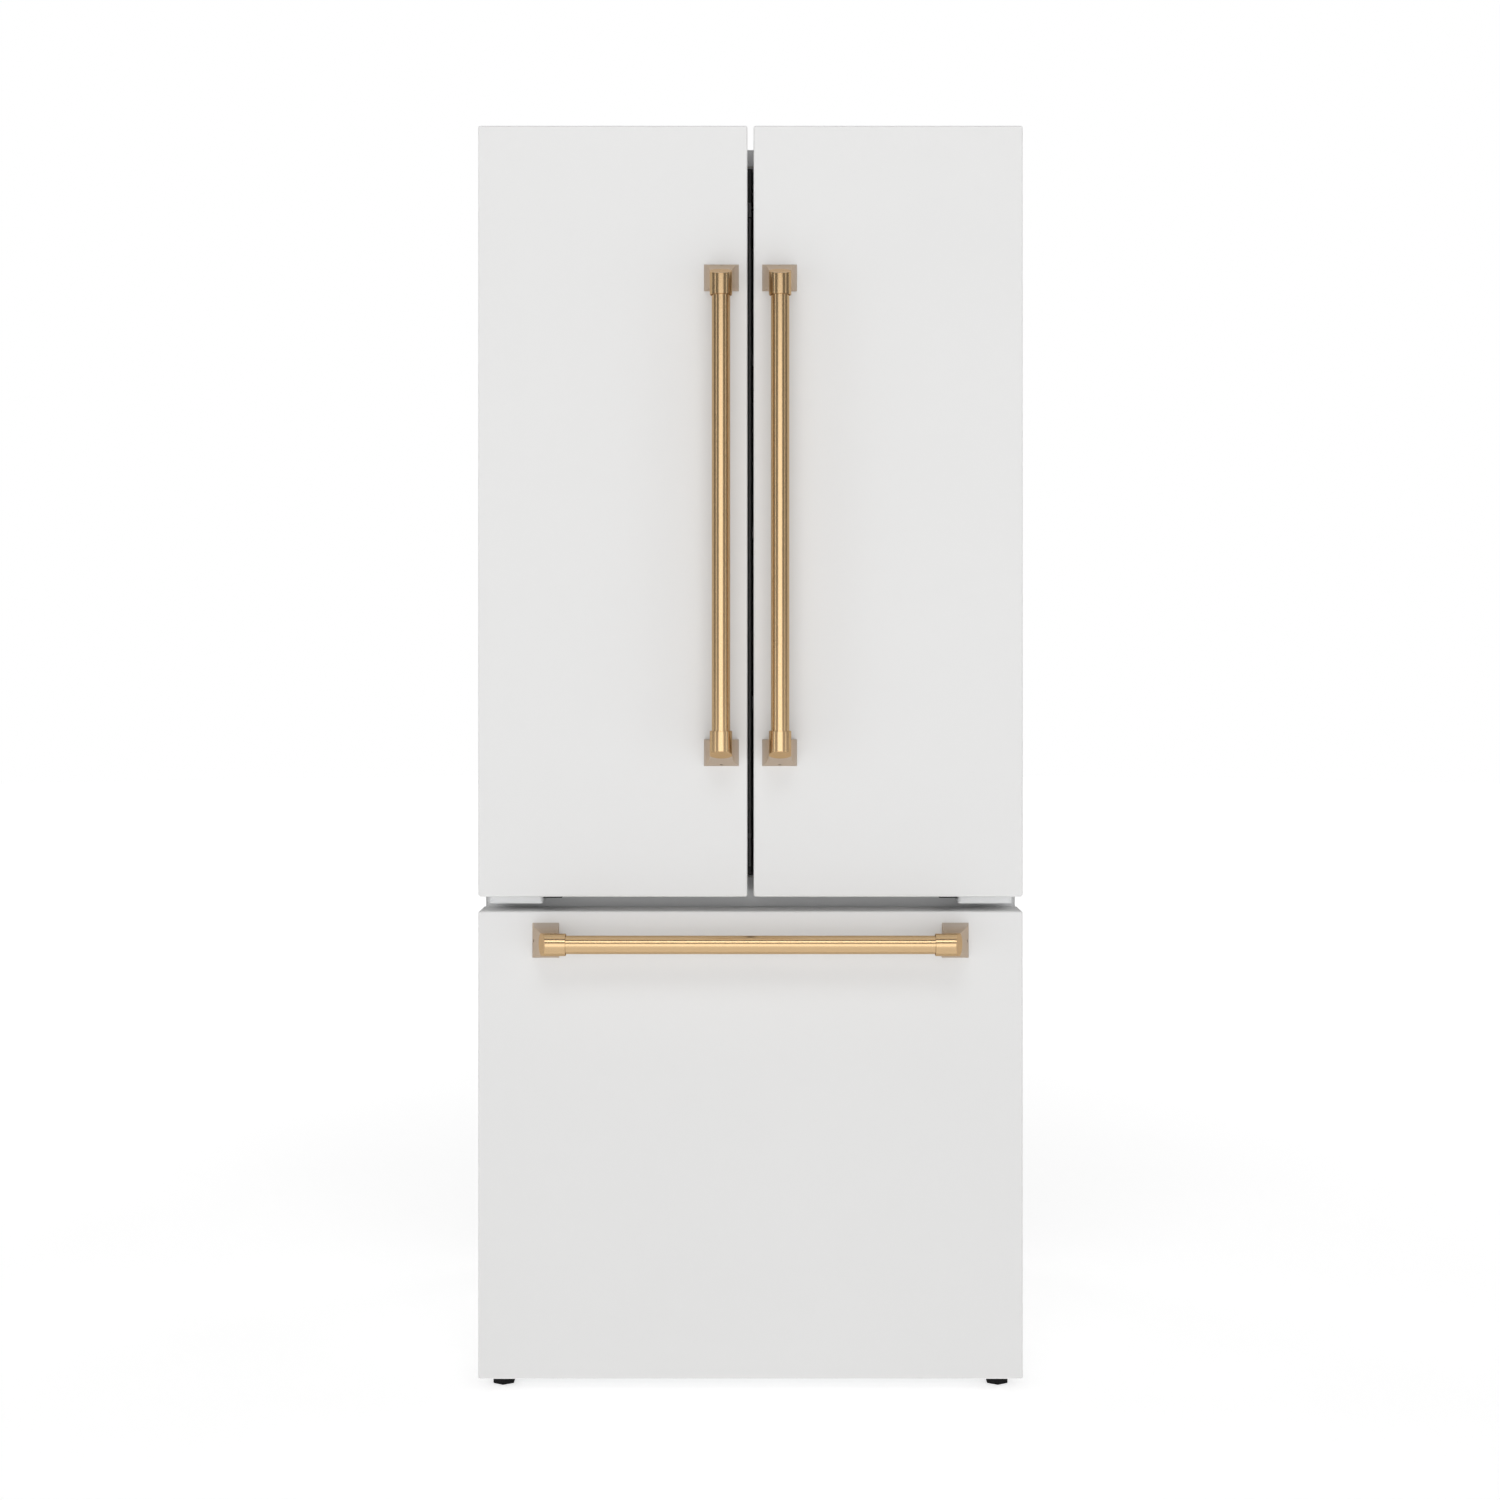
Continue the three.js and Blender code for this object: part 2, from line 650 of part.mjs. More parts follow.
// Fan turned about its local Z.
function fanForm(radius, hubRadius, hubLength, blades) {
  const hub = rod("z", hubRadius, [0, hubLength], 0, 0, 24);
  const wings = Array.from({ length: blades }, (_, i) => {
    const wing = new THREE.BoxGeometry(radius - hubRadius + 4, bladeWidth, bladeThickness);
    wing.rotateX(bladePitch).translate((radius + hubRadius - 4) / 2, 0, hubLength / 2);
    return wing.rotateZ((2 * Math.PI * i) / blades);
  });
  return cut(join(hub, ...wings), rod("z", fanBore, [-1, hubLength + 1], 0, 0, 16));
}
const condenserFan = add(cabinet, "condenser_fan", "blackPlastic", fanForm(68, 17, fanHub, 5));
condenserFan.rotation.y = Math.PI / 2;
condenserFan.position.set(fanX - 10, bayMiddle, fanZ);
const evaporatorFan = add(cabinet, "evaporator_fan", "whitePlastic", fanForm(56, 15, fanHub, 4));
evaporatorFan.rotation.x = -Math.PI / 2;
evaporatorFan.position.set(0, yFanWall + 6, evaporatorFanZ);

// ---------- Feet and rollers ----------

for (const [side, s] of Object.entries(bothSides)) {
  const stemTop = foamBottom - 3;
  const hexagon = new THREE.CylinderGeometry(footRadius, footRadius, footHeight, 6);
  hexagon.rotateX(Math.PI / 2).translate(0, 0, footHeight / 2);
  const foot = join(hexagon, rod("z", footStem, [footHeight - 1, stemTop], 0, 0, 24));
  add(cabinet, `front_foot_${side}`, "blackPlastic", foot).position.set(
    s * footOffset,
    yCase + footSetback,
    0,
  );

  const half = rollerWidth / 2;
  const stub = rollerSlot + rollerEar + 1;
  const wheel = turned([
    [0, -stub],
    [axleRadius, -stub],
    [axleRadius, -half],
    [rollerRadius - 2, -half],
    [rollerRadius, -half + 2],
    [rollerRadius, half - 2],
    [rollerRadius - 2, half],
    [axleRadius, half],
    [axleRadius, stub],
    [0, stub],
  ]);
  const roller = add(cabinet, `rear_roller_${side}`, "blackPlastic", wheel);
  roller.rotation.y = Math.PI / 2;
  roller.position.set(s * rollerOffset, yRoller, rollerRadius);
}

// ---------- Handles ----------

// Bracket at the handle's end, which is at z = 0. The bar runs up along Z, in front of the face at y = 0.
function bracket() {
  const half = bracketWidth / 2;
  const neck = -handleStandoff;
  const flare = new THREE.Shape();
  flare.moveTo(-half, 0);
  flare.quadraticCurveTo(-ferruleRadius - 0.5, neck * 0.3, -ferruleRadius, neck);
  flare.lineTo(ferruleRadius, neck);
  flare.quadraticCurveTo(ferruleRadius + 0.5, neck * 0.3, half, 0);
  const pedestal = prism(flare, "z", [0, bracketLength]);
  const ferrule = rod("z", ferruleRadius, [0, ferruleLength], 0, neck);
  const front = neck - ferruleRadius - 1;
  const lean = (bracketSlant * (handleStandoff + ferruleRadius + 1)) / (handleStandoff + ferruleRadius);
  const slant = prism(
    [
      [1, -bracketSlant / (handleStandoff + ferruleRadius)],
      [front, lean],
      [front, -1],
      [1, -1],
    ],
    "x",
    across(bracketWidth),
  );
  const bore = rod("z", handleRadius + gap, [ferruleLength - boreDepth, ferruleLength + 1], 0, neck);
  return cut(join(pedestal, ferrule), slant, bore);
}

// Handle standing along its group's Z from 0 to its length, on a face at y = 0.
function handle(name, length, ends) {
  const group = new THREE.Group();
  const socket = ferruleLength - boreDepth + gap;
  const bar = rod("z", handleRadius, [socket, length - socket], 0, -handleStandoff);
  add(group, name, "bronze", bar);
  const low = add(group, `${name}_bracket_${ends[0]}`, "bronze", bracket());
  const high = add(group, `${name}_bracket_${ends[1]}`, "bronze", bracket());
  low.position.y = high.position.y = -gap;
  high.position.z = length;
  high.rotation.y = Math.PI;
  return group;
}

// ---------- Doors ----------

// Pan of painted steel, open at the back, with rounded upright front edges.
function skin(xs, thickness, tall) {
  const [x0, x1] = ordered(xs);
  const r = edgeRadius;
  const outline = new THREE.Shape();
  outline.moveTo(x0, thickness);
  outline.lineTo(x0, r);
  outline.absarc(x0 + r, r, r, Math.PI, 1.5 * Math.PI, false);
  outline.lineTo(x1 - r, 0);
  outline.absarc(x1 - r, r, r, 1.5 * Math.PI, 2 * Math.PI, false);
  outline.lineTo(x1, thickness);
  const hollow = block([x0 + steel, x1 - steel], [steel, thickness + 1], [steel, tall - steel]);
  return cut(prism(outline, "z", [0, tall]), hollow);
}

// Foam-filled inner panel with a raised rim behind it.
function innerPanel(xs, thickness, tall, rimXs, rimZs, rimDepth) {
  const [x0, x1] = ordered(xs);
  const [r0, r1] = ordered(rimXs);
  const inset = steel + gap;
  const slab = block([x0 + inset, x1 - inset], [inset, thickness], [inset, tall - inset]);
  const rim = cut(
    block([r0, r1], [thickness - 1, thickness + rimDepth], rimZs),
    block(
      [r0 + dikeWall, r1 - dikeWall],
      [thickness, thickness + rimDepth + 1],
      [rimZs[0] + dikeWall, rimZs[1] - dikeWall],
    ),
  );
  return join(slab, rim);
}

function seal(xs, zs, ys) {
  const [x0, x1] = ordered(xs);
  const hole = block([x0 + sealWidth, x1 - sealWidth], [ys[0] - 1, ys[1] + 1], [zs[0] + sealWidth, zs[1] - sealWidth]);
  return cut(block([x0, x1], ys, zs), hole);
}

// One door, in a group on its hinge axis at the door's lower edge. The door reaches inwards from there.
function door(side, s) {
  const group = new THREE.Group();
  group.position.set(s * hingeX, yHinge, zDoor);
  const inward = -s;
  const u = (distance) => inward * distance; // from the hinge axis towards the middle
  const outerEdge = -hingeInset;
  const freeEdge = doorWidth - hingeInset;
  const xs = [u(outerEdge), u(freeEdge)];
  const face = -hingeSetback;
  const back = face + doorThickness;

  const notch = block(
    [u(outerEdge - 1), u(notchInner)],
    [face + notchFront, back + 1],
    [doorHeight - notchDepth, doorHeight + 1],
  );
  const holes = [
    [-1, pinReach + 2],
    [doorHeight - notchDepth - pinReach - 2, doorHeight],
  ].map((zs) => rod("z", pinRadius + pinClearance, zs, 0, 0, 24));
  const shell = skin(xs, doorThickness, doorHeight).translate([0, face, 0]);
  const wall = block(
    [u(outerEdge + steel / 2), u(notchInner + steel)],
    [face + notchFront - steel, back],
    [doorHeight - notchDepth - steel, doorHeight - steel / 2],
  );
  add(group, `door_skin_${side}`, "whitePaint", cut(join(shell, wall), notch, ...holes));

  const rimXs = [u(dikeHingeInset), u(freeEdge - dikeFreeInset)];
  const rimZs = [floorRise + dikeEndInset, zFreshTop - zDoor - dikeEndInset];
  const panel = innerPanel(xs, doorThickness, doorHeight, rimXs, rimZs, dikeDepth).translate([0, face, 0]);
  const relief = block(
    [u(outerEdge - 1), u(notchInner + steel + gap)],
    [face + notchFront - steel - gap, back + 1],
    [doorHeight - notchDepth - steel - gap, doorHeight + 1],
  );
  add(group, `door_liner_${side}`, "whitePlastic", cut(panel, relief, ...holes));

  const sealXs = [u(sealHingeInset), u(freeEdge - sealFreeInset)];
  const sealZs = [sealEndInset, doorHeight - caseDrop - sealTopInset];
  add(group, `door_gasket_${side}`, "seal", seal(sealXs, sealZs, [back + gap, back + sealDepth - gap]));

  const gripLength = doorHeight - doorHandleRise - doorHandleDrop;
  const grip = handle(`door_handle_${side}`, gripLength, ["lower", "upper"]);
  grip.position.set(u(freeEdge - doorHandleInset), face, doorHandleRise);
  group.add(grip);

  for (const [level, rise] of Object.entries(binLevels)) {
    const binXs = ordered([
      u(dikeHingeInset + dikeWall + binClearance),
      u(freeEdge - dikeFreeInset - dikeWall - binClearance),
    ]);
    const ys = [back + gap, back + gap + binDepth];
    const zs = [rise, rise + binHeight];
    const shellBin = tub(binXs, ys, zs, [
      [binXs[0] + tubWall, binXs[1] - tubWall],
      [ys[0] + tubWall, ys[1] - tubWall],
      [zs[0] + tubWall, zs[1] + 1],
    ]);
    add(group, `door_bin_${side}_${level}`, "clearPlastic", shellBin);
  }
  return group;
}

// ---------- Folding mullion ----------

// Bar that closes the seam from behind. It hangs on two pins at its left end, held by lugs on the door.
const mullionInset = gap + linerWall + mullionEndGap;
const mullionZs = [zFresh + mullionInset, zFreshTop - mullionInset];
const mullionY = yCase + gap + mullionThickness / 2;
function mullion() {
  const half = mullionThickness / 2;
  const outline = new THREE.Shape();
  outline.moveTo(0, -half);
  outline.lineTo(mullionPivot + mullionTip, -half);
  outline.lineTo(mullionPivot + mullionTipBack, half);
  outline.lineTo(0, half);
  outline.absarc(0, 0, half, Math.PI / 2, 1.5 * Math.PI, false);
  const tall = mullionZs[1] - mullionZs[0];
  const bar = prism(outline, "z", [0, tall]);
  const bores = [
    [-1, 30],
    [tall - 30, tall + 1],
  ].map((zs) => rod("z", mullionPinRadius + pinClearance, zs, 0, 0, 16));
  // The ends are stepped to make room for the lugs that carry the pins.
  const steps = [
    [-1, 10],
    [tall - 10, tall + 1],
  ].map((zs) => block([-half - 1, half + 1], [-half - 1, half + 1], zs));
  return cut(bar, ...bores, ...steps);
}
// Lug from the raised rim of the left door out to the pin.
function mullionLug(up) {
  const rim = -(doorGap / 2 + dikeFreeInset);
  const z = up ? mullionZs[1] - 5 : mullionZs[0] + 2;
  const pinEnd = up ? z - 24 : z + 27;
  const ys = [mullionY - 6, mullionY + 6];
  const lug = block([rim - 5, -mullionPivot + 5], ys, [z, z + 3]);
  const tab = block([rim - 5, rim + 2], ys, up ? [z - dikeEndInset - 10, z + 3] : [z, z + dikeEndInset + 10]);
  const pin = rod("z", mullionPinRadius, ordered([z + 1, pinEnd]), -mullionPivot, mullionY, 16);
  return join(lug, tab, pin);
}

const leftDoor = door("left", -1);
const rightDoor = door("right", 1);
const hungMullion = add(leftDoor, "flipper_mullion", "blackPlastic", mullion());
hungMullion.position.set(-mullionPivot + hingeX, mullionY - yHinge, mullionZs[0] - zDoor);

// The lugs belong to the left door's inner panel.
const leftLiner = leftDoor.children.find((mesh) => mesh.name === "door_liner_left");
const lugs = [true, false].map((up) => mullionLug(up).translate([hingeX, -yHinge, -zDoor]));
leftLiner.geometry = asGeometry(join(leftLiner.geometry, ...lugs));

// ---------- Freezer drawer ----------

// The group stands on the middle of the drawer's lower front edge.
const drawer = new THREE.Group();
drawer.position.set(0, yFront, drawerBottom);
const halfDrawer = width / 2;
const armOuter = fixedRailFace - railClearance - railThickness - railClearance;
const drawerRim = armOuter - armThickness - 1;
add(drawer, "drawer_skin", "whitePaint", skin(across(halfDrawer), doorThickness, drawerHeight));
const drawerRimZs = [
  freezerFloor + dikeEndInset - drawerBottom,
  zFreezerTop - dikeEndInset - drawerBottom,
];
const drawerRimDepth = 26;
add(
  drawer,
  "drawer_liner",
  "whitePlastic",
  innerPanel(across(halfDrawer), doorThickness, drawerHeight, across(drawerRim), drawerRimZs, drawerRimDepth),
);
const drawerSealZs = [freezerFloor - 5 - sealWidth - drawerBottom, drawerHeight - drawerSealInset];
const drawerSealHalf = hingeX - sealHingeInset;
add(
  drawer,
  "drawer_gasket",
  "seal",
  seal(across(drawerSealHalf), drawerSealZs, [doorThickness + gap, doorThickness + sealDepth - gap]),
);
const halfGrip = halfDrawer - drawerHandleInset;
const drawerHandle = handle("drawer_handle", 2 * halfGrip, ["left", "right"]);
drawerHandle.rotation.y = Math.PI / 2;
drawerHandle.position.set(-halfGrip, 0, drawerHeight - drawerHandleDrop);
drawer.add(drawerHandle);

// Two steel arms joined across the back.
const armZs = [armLevel - drawerBottom, armLevel + armHeight - drawerBottom];
function slideFrame() {
  const ys = [doorThickness + gap, freezerBack - armRearGap - yFront];
  const arms = [-1, 1].map((s) => block([s * armOuter, s * (armOuter - armThickness)], ys, armZs));
  const tie = block(across(armOuter - 1), [ys[1] - 8, ys[1]], armZs);
  return join(...arms, tie);
}
add(drawer, "drawer_frame", "zinc", slideFrame());

// Basket hung between the arms by its rim, which rests on them.
const basketHalf = armOuter - armThickness - 3;
const basketYs = [
  doorThickness + basketSetback,
  yHump - gap - linerWall - basketRearGap - yFront,
];
function basket() {
  const half = basketHalf;
  const ys = basketYs;
  const top = armZs[1] + gap + tubWall;
  const zs = [top - basketHeight, top];
  const rimXs = across(half + basketRim);
  const rim = block(rimXs, ys, [top - tubWall, top]);
  const hollow = block(
    across(half - tubWall),
    [ys[0] + tubWall, ys[1] - tubWall],
    [zs[0] + tubWall, top + 1],
  );
  return cut(join(block(across(half), ys, zs), rim), hollow);
}
add(drawer, "freezer_basket", "whitePlastic", basket());

// Tray on the basket's rim, which slides back over the basket.
function tray() {
  const ys = basketYs;
  const bottom = armZs[1] + gap + tubWall + gap;
  const top = bottom + trayHeight;
  const half = basketHalf + trayOverhang;
  const hollow = block(
    across(half - tubWall),
    [ys[0] + tubWall, ys[1] - tubWall],
    [bottom + tubWall, top + 1],
  );
  return cut(block(across(half), ys, [bottom, top]), hollow);
}
add(drawer, "freezer_upper_tray", "clearPlastic", tray());

// Middle members of the telescopic rails.
for (const [side, s] of Object.entries(bothSides)) {
  const outer = fixedRailFace - railClearance;
  const bar = block(
    [s * outer, s * (outer - railThickness)],
    railYs,
    [railCentre - 10, railCentre + 10],
  );
  add(cabinet, `middle_rail_${side}`, "zinc", bar);
}

const refrigerator = new THREE.Group();
refrigerator.add(cabinet, leftDoor, rightDoor, drawer);
export default refrigerator;
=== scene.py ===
"""Looks of a french door refrigerator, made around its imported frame. Metres, +Z up, the doors face -Y."""

import bpy
import json
import math
from mathutils import Matrix, Vector

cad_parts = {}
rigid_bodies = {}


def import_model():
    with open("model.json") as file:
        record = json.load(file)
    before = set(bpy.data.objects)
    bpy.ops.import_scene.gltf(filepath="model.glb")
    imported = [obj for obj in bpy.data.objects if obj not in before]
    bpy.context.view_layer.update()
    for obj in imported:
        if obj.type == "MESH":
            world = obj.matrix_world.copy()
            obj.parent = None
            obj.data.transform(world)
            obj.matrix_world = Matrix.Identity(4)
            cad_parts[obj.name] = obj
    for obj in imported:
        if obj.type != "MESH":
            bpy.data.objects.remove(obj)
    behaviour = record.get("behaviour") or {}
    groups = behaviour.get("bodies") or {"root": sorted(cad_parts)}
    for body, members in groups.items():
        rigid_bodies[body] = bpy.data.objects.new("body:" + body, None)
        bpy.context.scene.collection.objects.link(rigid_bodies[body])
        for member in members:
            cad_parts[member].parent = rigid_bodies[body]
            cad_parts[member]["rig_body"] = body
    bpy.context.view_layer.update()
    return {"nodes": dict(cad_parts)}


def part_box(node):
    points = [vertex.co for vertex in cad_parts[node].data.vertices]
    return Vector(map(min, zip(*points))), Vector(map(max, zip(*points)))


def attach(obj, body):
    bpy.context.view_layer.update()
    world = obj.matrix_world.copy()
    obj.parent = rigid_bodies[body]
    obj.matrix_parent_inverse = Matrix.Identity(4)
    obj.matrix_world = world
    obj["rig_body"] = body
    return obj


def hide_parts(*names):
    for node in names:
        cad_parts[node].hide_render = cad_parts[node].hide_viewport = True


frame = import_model()
nodes = frame["nodes"]
scene = bpy.context.scene

# ---------- Camera ----------

EYE_LEVEL = 1.0286
CAMERA_FRONT = 3.372  # before the middle of the refrigerator
CAMERA_SIDE = -0.0007
LENS = 52.6
DOWNWARD_SHIFT = -0.06

camera = bpy.data.objects.new("camera", bpy.data.cameras.new("camera"))
scene.collection.objects.link(camera)
camera.location = (CAMERA_SIDE, -CAMERA_FRONT, EYE_LEVEL)
camera.rotation_euler = (math.radians(90), 0, 0)
camera.data.lens = LENS
camera.data.shift_y = DOWNWARD_SHIFT
camera.data.clip_end = 200
scene.camera = camera

# ---------- Finishes ----------


class Wire:
    """A shader socket that can stand in a Python expression."""

    def __init__(self, socket):
        self.socket = socket

    def math(self, operation, *terms):
        terms = terms or (self,)
        return Finish.of(self).node("ShaderNodeMath", {"operation": operation}, dict(enumerate(terms)))

    def __add__(self, other):
        return self.math("ADD", self, other)

    def __mul__(self, other):
        return self.math("MULTIPLY", self, other)

    def __sub__(self, other):
        return self.math("SUBTRACT", self, other)

    def __gt__(self, other):
        return self.math("GREATER_THAN", self, other)


class Finish:
    """A material with one Principled shader. Numbers that are the same all over go on its own sockets."""

    made = {}

    def __init__(self, name, slot, **fixed):
        self.slot = slot
        self.material = bpy.data.materials.new(name)
        self.material.use_nodes = True
        self.tree = self.material.node_tree
        self.shader = self.tree.nodes["Principled BSDF"]
        for socket, value in fixed.items():
            self.shader.inputs[socket.replace("_", " ")].default_value = value
        Finish.made[self.tree] = self

    @staticmethod
    def of(wire):
        return Finish.made[wire.socket.id_data]

    def node(self, kind, settings=None, inputs=None, out=0):
        made = self.tree.nodes.new(kind)
        for key, value in (settings or {}).items():
            setattr(made, key, value)
        for key, value in (inputs or {}).items():
            if isinstance(value, Wire):
                self.tree.links.new(value.socket, made.inputs[key])
            else:
                made.inputs[key].default_value = value
        return Wire(made.outputs[out])

    def feed(self, socket, wire):
        self.tree.links.new(wire.socket, self.shader.inputs[socket])

    def place(self, scale):
        here = self.node("ShaderNodeTexCoord", out="Object")
        return self.node("ShaderNodeMapping", inputs={"Vector": here, "Scale": scale})

    def coordinate(self, axis):
        """One coordinate of the point, in metres."""
        here = self.node("ShaderNodeTexCoord", out="Object")
        return self.node("ShaderNodeSeparateXYZ", inputs={0: here}, out=axis)

    def noise(self, scale, detail, stretch=(1, 1, 1), roughness=0.5):
        return self.node(
            "ShaderNodeTexNoise",
            inputs={"Vector": self.place(stretch), "Scale": scale, "Detail": detail, "Roughness": roughness},
        )

    def cells(self, scale, out="Distance"):
        places = {"Vector": self.place((1, 1, 1)), "Scale": scale}
        return self.node("ShaderNodeTexVoronoi", inputs=places, out=out)

    def blend(self, mask, low, high):
        """Runs from low to high with the mask. Both are colours with alpha, or wires."""
        return self.node("ShaderNodeMix", {"data_type": "RGBA"}, {"Factor": mask, 6: low, 7: high}, out=2)

    def between(self, mask, low, high):
        """Colour that runs from low to high with the mask."""
        return self.blend(mask, (*low, 1), (*high, 1))

    def relief(self, height, strength, depth):
        bump = {"Height": height, "Strength": strength, "Distance": depth}
        self.feed("Normal", self.node("ShaderNodeBump", inputs=bump))


def enamel(name, slot, dull, bright, pebble, strength, roughness):
    """Sprayed paint: a fine pebble, with slow drifts of tone and gloss."""
    made = Finish(name, slot, IOR=1.5)
    drift = made.noise(3.0, 3)
    grain = made.noise(pebble, 2)
    made.feed("Base Color", made.between(drift * 0.7 + grain * 0.3, dull, bright))
    made.feed("Roughness", drift * 0.08 + grain * 0.1 + roughness)
    made.relief(grain, strength, 0.0004)
    return made


BAR_RADIUS = 0.0125
FERRULE_RADIUS = 0.01525
DOOR_BAR_AXIS = 0.04035  # to each side of the middle
DRAWER_BAR_LEVEL = 0.640
BAR_AXIS_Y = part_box("door_handle_left")[0].y + BAR_RADIUS
POLISHED_RADIUS = FERRULE_RADIUS + 0.0006  # about the bar's axis


def brushed_bronze(name, stretch, across):
    """Bronze with a long fine grain along the bar, rougher on the brackets beside it, where a greyer colour
    is painted in as the reflection of the shaded door.

    Across is the axis that leads from the bar to its side: X by the doors' bars, Z by the drawer's.
    """
    made = Finish(name, "bronze", Metallic=1.0, Specular_Tint=(0.90, 0.76, 0.60, 1))
    grain = made.noise(1.0, 4, stretch, 0.65)
    fine = made.noise(2.3, 3, stretch, 0.7)
    drift = made.noise(14.0, 2)
    tone = grain * 0.45 + fine * 0.25 + drift * 0.3
    if across == "X":
        aside = made.coordinate("X").math("ABSOLUTE") - DOOR_BAR_AXIS
    else:
        aside = made.coordinate("Z") - DRAWER_BAR_LEVEL
    ahead = made.coordinate("Y") - BAR_AXIS_Y
    beside = (aside * aside + ahead * ahead) > POLISHED_RADIUS**2
    polished = made.between(tone, (0.575, 0.40, 0.222), (0.61, 0.428, 0.242))
    # Painted reflection: the greyer, paler colour of the bracket flanks stands for the dim reflection of the
    # shaded door beside them.
    painted_grey_reflection = made.between(tone, (0.55, 0.485, 0.43), (0.63, 0.565, 0.51))
    made.feed("Base Color", made.blend(beside, polished, painted_grey_reflection))
    made.feed("Roughness", grain * 0.03 + drift * 0.04 + beside * 0.14 + 0.18)
    made.relief(grain * 0.7 + fine * 0.3, 0.005, 0.0001)
    return made


def moulded_plastic(name, slot, dull, bright, roughness, **fixed):
    """Moulded plastic with a faint orange peel."""
    made = Finish(name, slot, **fixed)
    cloud = made.noise(9.0, 3)
    peel = made.noise(420.0, 2)
    made.feed("Base Color", made.between(cloud, dull, bright))
    made.feed("Roughness", cloud * 0.07 + peel * 0.08 + roughness)
    made.relief(peel, 0.08, 0.0004)
    return made


def see_through(name, slot, dull, bright, roughness, ior):
    """Clear plastic or glass with faint smears."""
    made = Finish(name, slot, IOR=ior, Transmission_Weight=1.0)
    smear = made.noise(12.0, 4)
    made.feed("Base Color", made.between(smear, dull, bright))
    made.feed("Roughness", smear * 0.05 + roughness)
    made.relief(made.noise(45.0, 2), 0.04, 0.0004)
    return made


def plated_steel(name, slot, dull, bright, roughness, spangle):
    """Bare metal sheet with a spangle of crystals."""
    made = Finish(name, slot, Metallic=1.0)
    crystals = made.node("ShaderNodeSeparateColor", inputs={"Color": made.cells(spangle, "Color")}, out="Red")
    stain = made.noise(16.0, 4)
    made.feed("Base Color", made.between(crystals * 0.5 + stain * 0.5, dull, bright))
    made.feed("Roughness", crystals * 0.12 + stain * 0.12 + roughness)
    made.relief(stain, 0.06, 0.0005)
    return made


def ribbed_vinyl():
    """Soft seal with a fine grain and a slightly dusty face."""
    made = Finish("grey_vinyl", "seal", IOR=1.45)
    dust = made.noise(22.0, 4)
    grain = made.noise(700.0, 2)
    made.feed("Base Color", made.between(dust, (0.30, 0.31, 0.32), (0.46, 0.47, 0.48)))
    made.feed("Roughness", dust * 0.2 + 0.5)
    made.relief(grain, 0.25, 0.0005)
    return made


def cut_foam():
    made = Finish("cut_foam", "foam", Roughness=0.95)
    bubbles = made.cells(260.0)
    cloud = made.noise(7.0, 4)
    made.feed("Base Color", made.between(cloud * 0.6 + bubbles * 0.5, (0.58, 0.46, 0.22), (0.86, 0.76, 0.50)))
    made.relief(bubbles, 0.6, 0.001)
    return made


white_enamel = enamel(
    "white_enamel", "white_paint", (0.785, 0.783, 0.778), (0.825, 0.823, 0.818), 900.0, 0.16, 0.36
)
grey_enamel = enamel(
    "grey_enamel", "grey_paint", (0.40, 0.41, 0.42), (0.50, 0.51, 0.52), 700.0, 0.14, 0.42
)
pale_enamel = enamel(
    "pale_grey_enamel", "grey_paint", (0.74, 0.742, 0.745), (0.80, 0.802, 0.805), 700.0, 0.14, 0.40
)
black_enamel = enamel(
    "black_enamel", "black_paint", (0.010, 0.010, 0.011), (0.022, 0.022, 0.024), 500.0, 0.2, 0.32
)
upright_bronze = brushed_bronze("brushed_bronze_upright", (4800, 4800, 40), "X")
level_bronze = brushed_bronze("brushed_bronze_level", (40, 4800, 4800), "Z")
white_plastic = moulded_plastic(
    "white_plastic", "white_plastic", (0.76, 0.77, 0.775), (0.83, 0.835, 0.84), 0.24
)
black_plastic = moulded_plastic(
    "black_plastic", "black_plastic", (0.010, 0.010, 0.010), (0.024, 0.024, 0.025), 0.34
)
grey_plastic = moulded_plastic(
    "grey_plastic", "black_plastic", (0.20, 0.202, 0.205), (0.25, 0.252, 0.255), 0.36
)
black_rubber = moulded_plastic(
    "black_rubber", "black_plastic", (0.004, 0.004, 0.004), (0.009, 0.009, 0.010), 0.6,
    Specular_IOR_Level=0.15,
)
clear_plastic = see_through(
    "clear_plastic", "clear_plastic", (0.90, 0.93, 0.94), (0.97, 0.985, 0.99), 0.03, 1.42
)
clear_glass = see_through("clear_glass", "glass", (0.86, 0.94, 0.91), (0.93, 0.98, 0.96), 0.0, 1.5)
zinc = plated_steel("zinc_plate", "zinc", (0.42, 0.43, 0.44), (0.66, 0.67, 0.68), 0.26, 130.0)
aluminium = plated_steel(
    "plain_aluminium", "aluminium", (0.62, 0.63, 0.64), (0.80, 0.81, 0.82), 0.24, 300.0
)
vinyl = ribbed_vinyl()
foam = cut_foam()
lamp_lens = moulded_plastic("lamp_lens", "white_plastic", (0.80, 0.82, 0.84), (0.88, 0.89, 0.90), 0.2)

# ---------- Workbench ----------


def deselect():
    bpy.ops.object.select_all(action="DESELECT")


def only(piece):
    deselect()
    piece.select_set(True)
    bpy.context.view_layer.objects.active = piece


def settled(piece, name):
    """The piece with its place in its mesh."""
    only(piece)
    bpy.ops.object.transform_apply(location=True, rotation=True, scale=True)
    piece.name = piece.data.name = name
    return piece


def block(name, low, high):
    """Box between two corners."""
    deselect()
    middle = [(a + b) / 2 for a, b in zip(low, high)]
    bpy.ops.mesh.primitive_cube_add(size=1, location=middle, scale=[b - a for a, b in zip(low, high)])
    return settled(bpy.context.object, name)


TURN_TO = {"x": (0, math.pi / 2, 0), "y": (-math.pi / 2, 0, 0), "z": (0, 0, 0)}


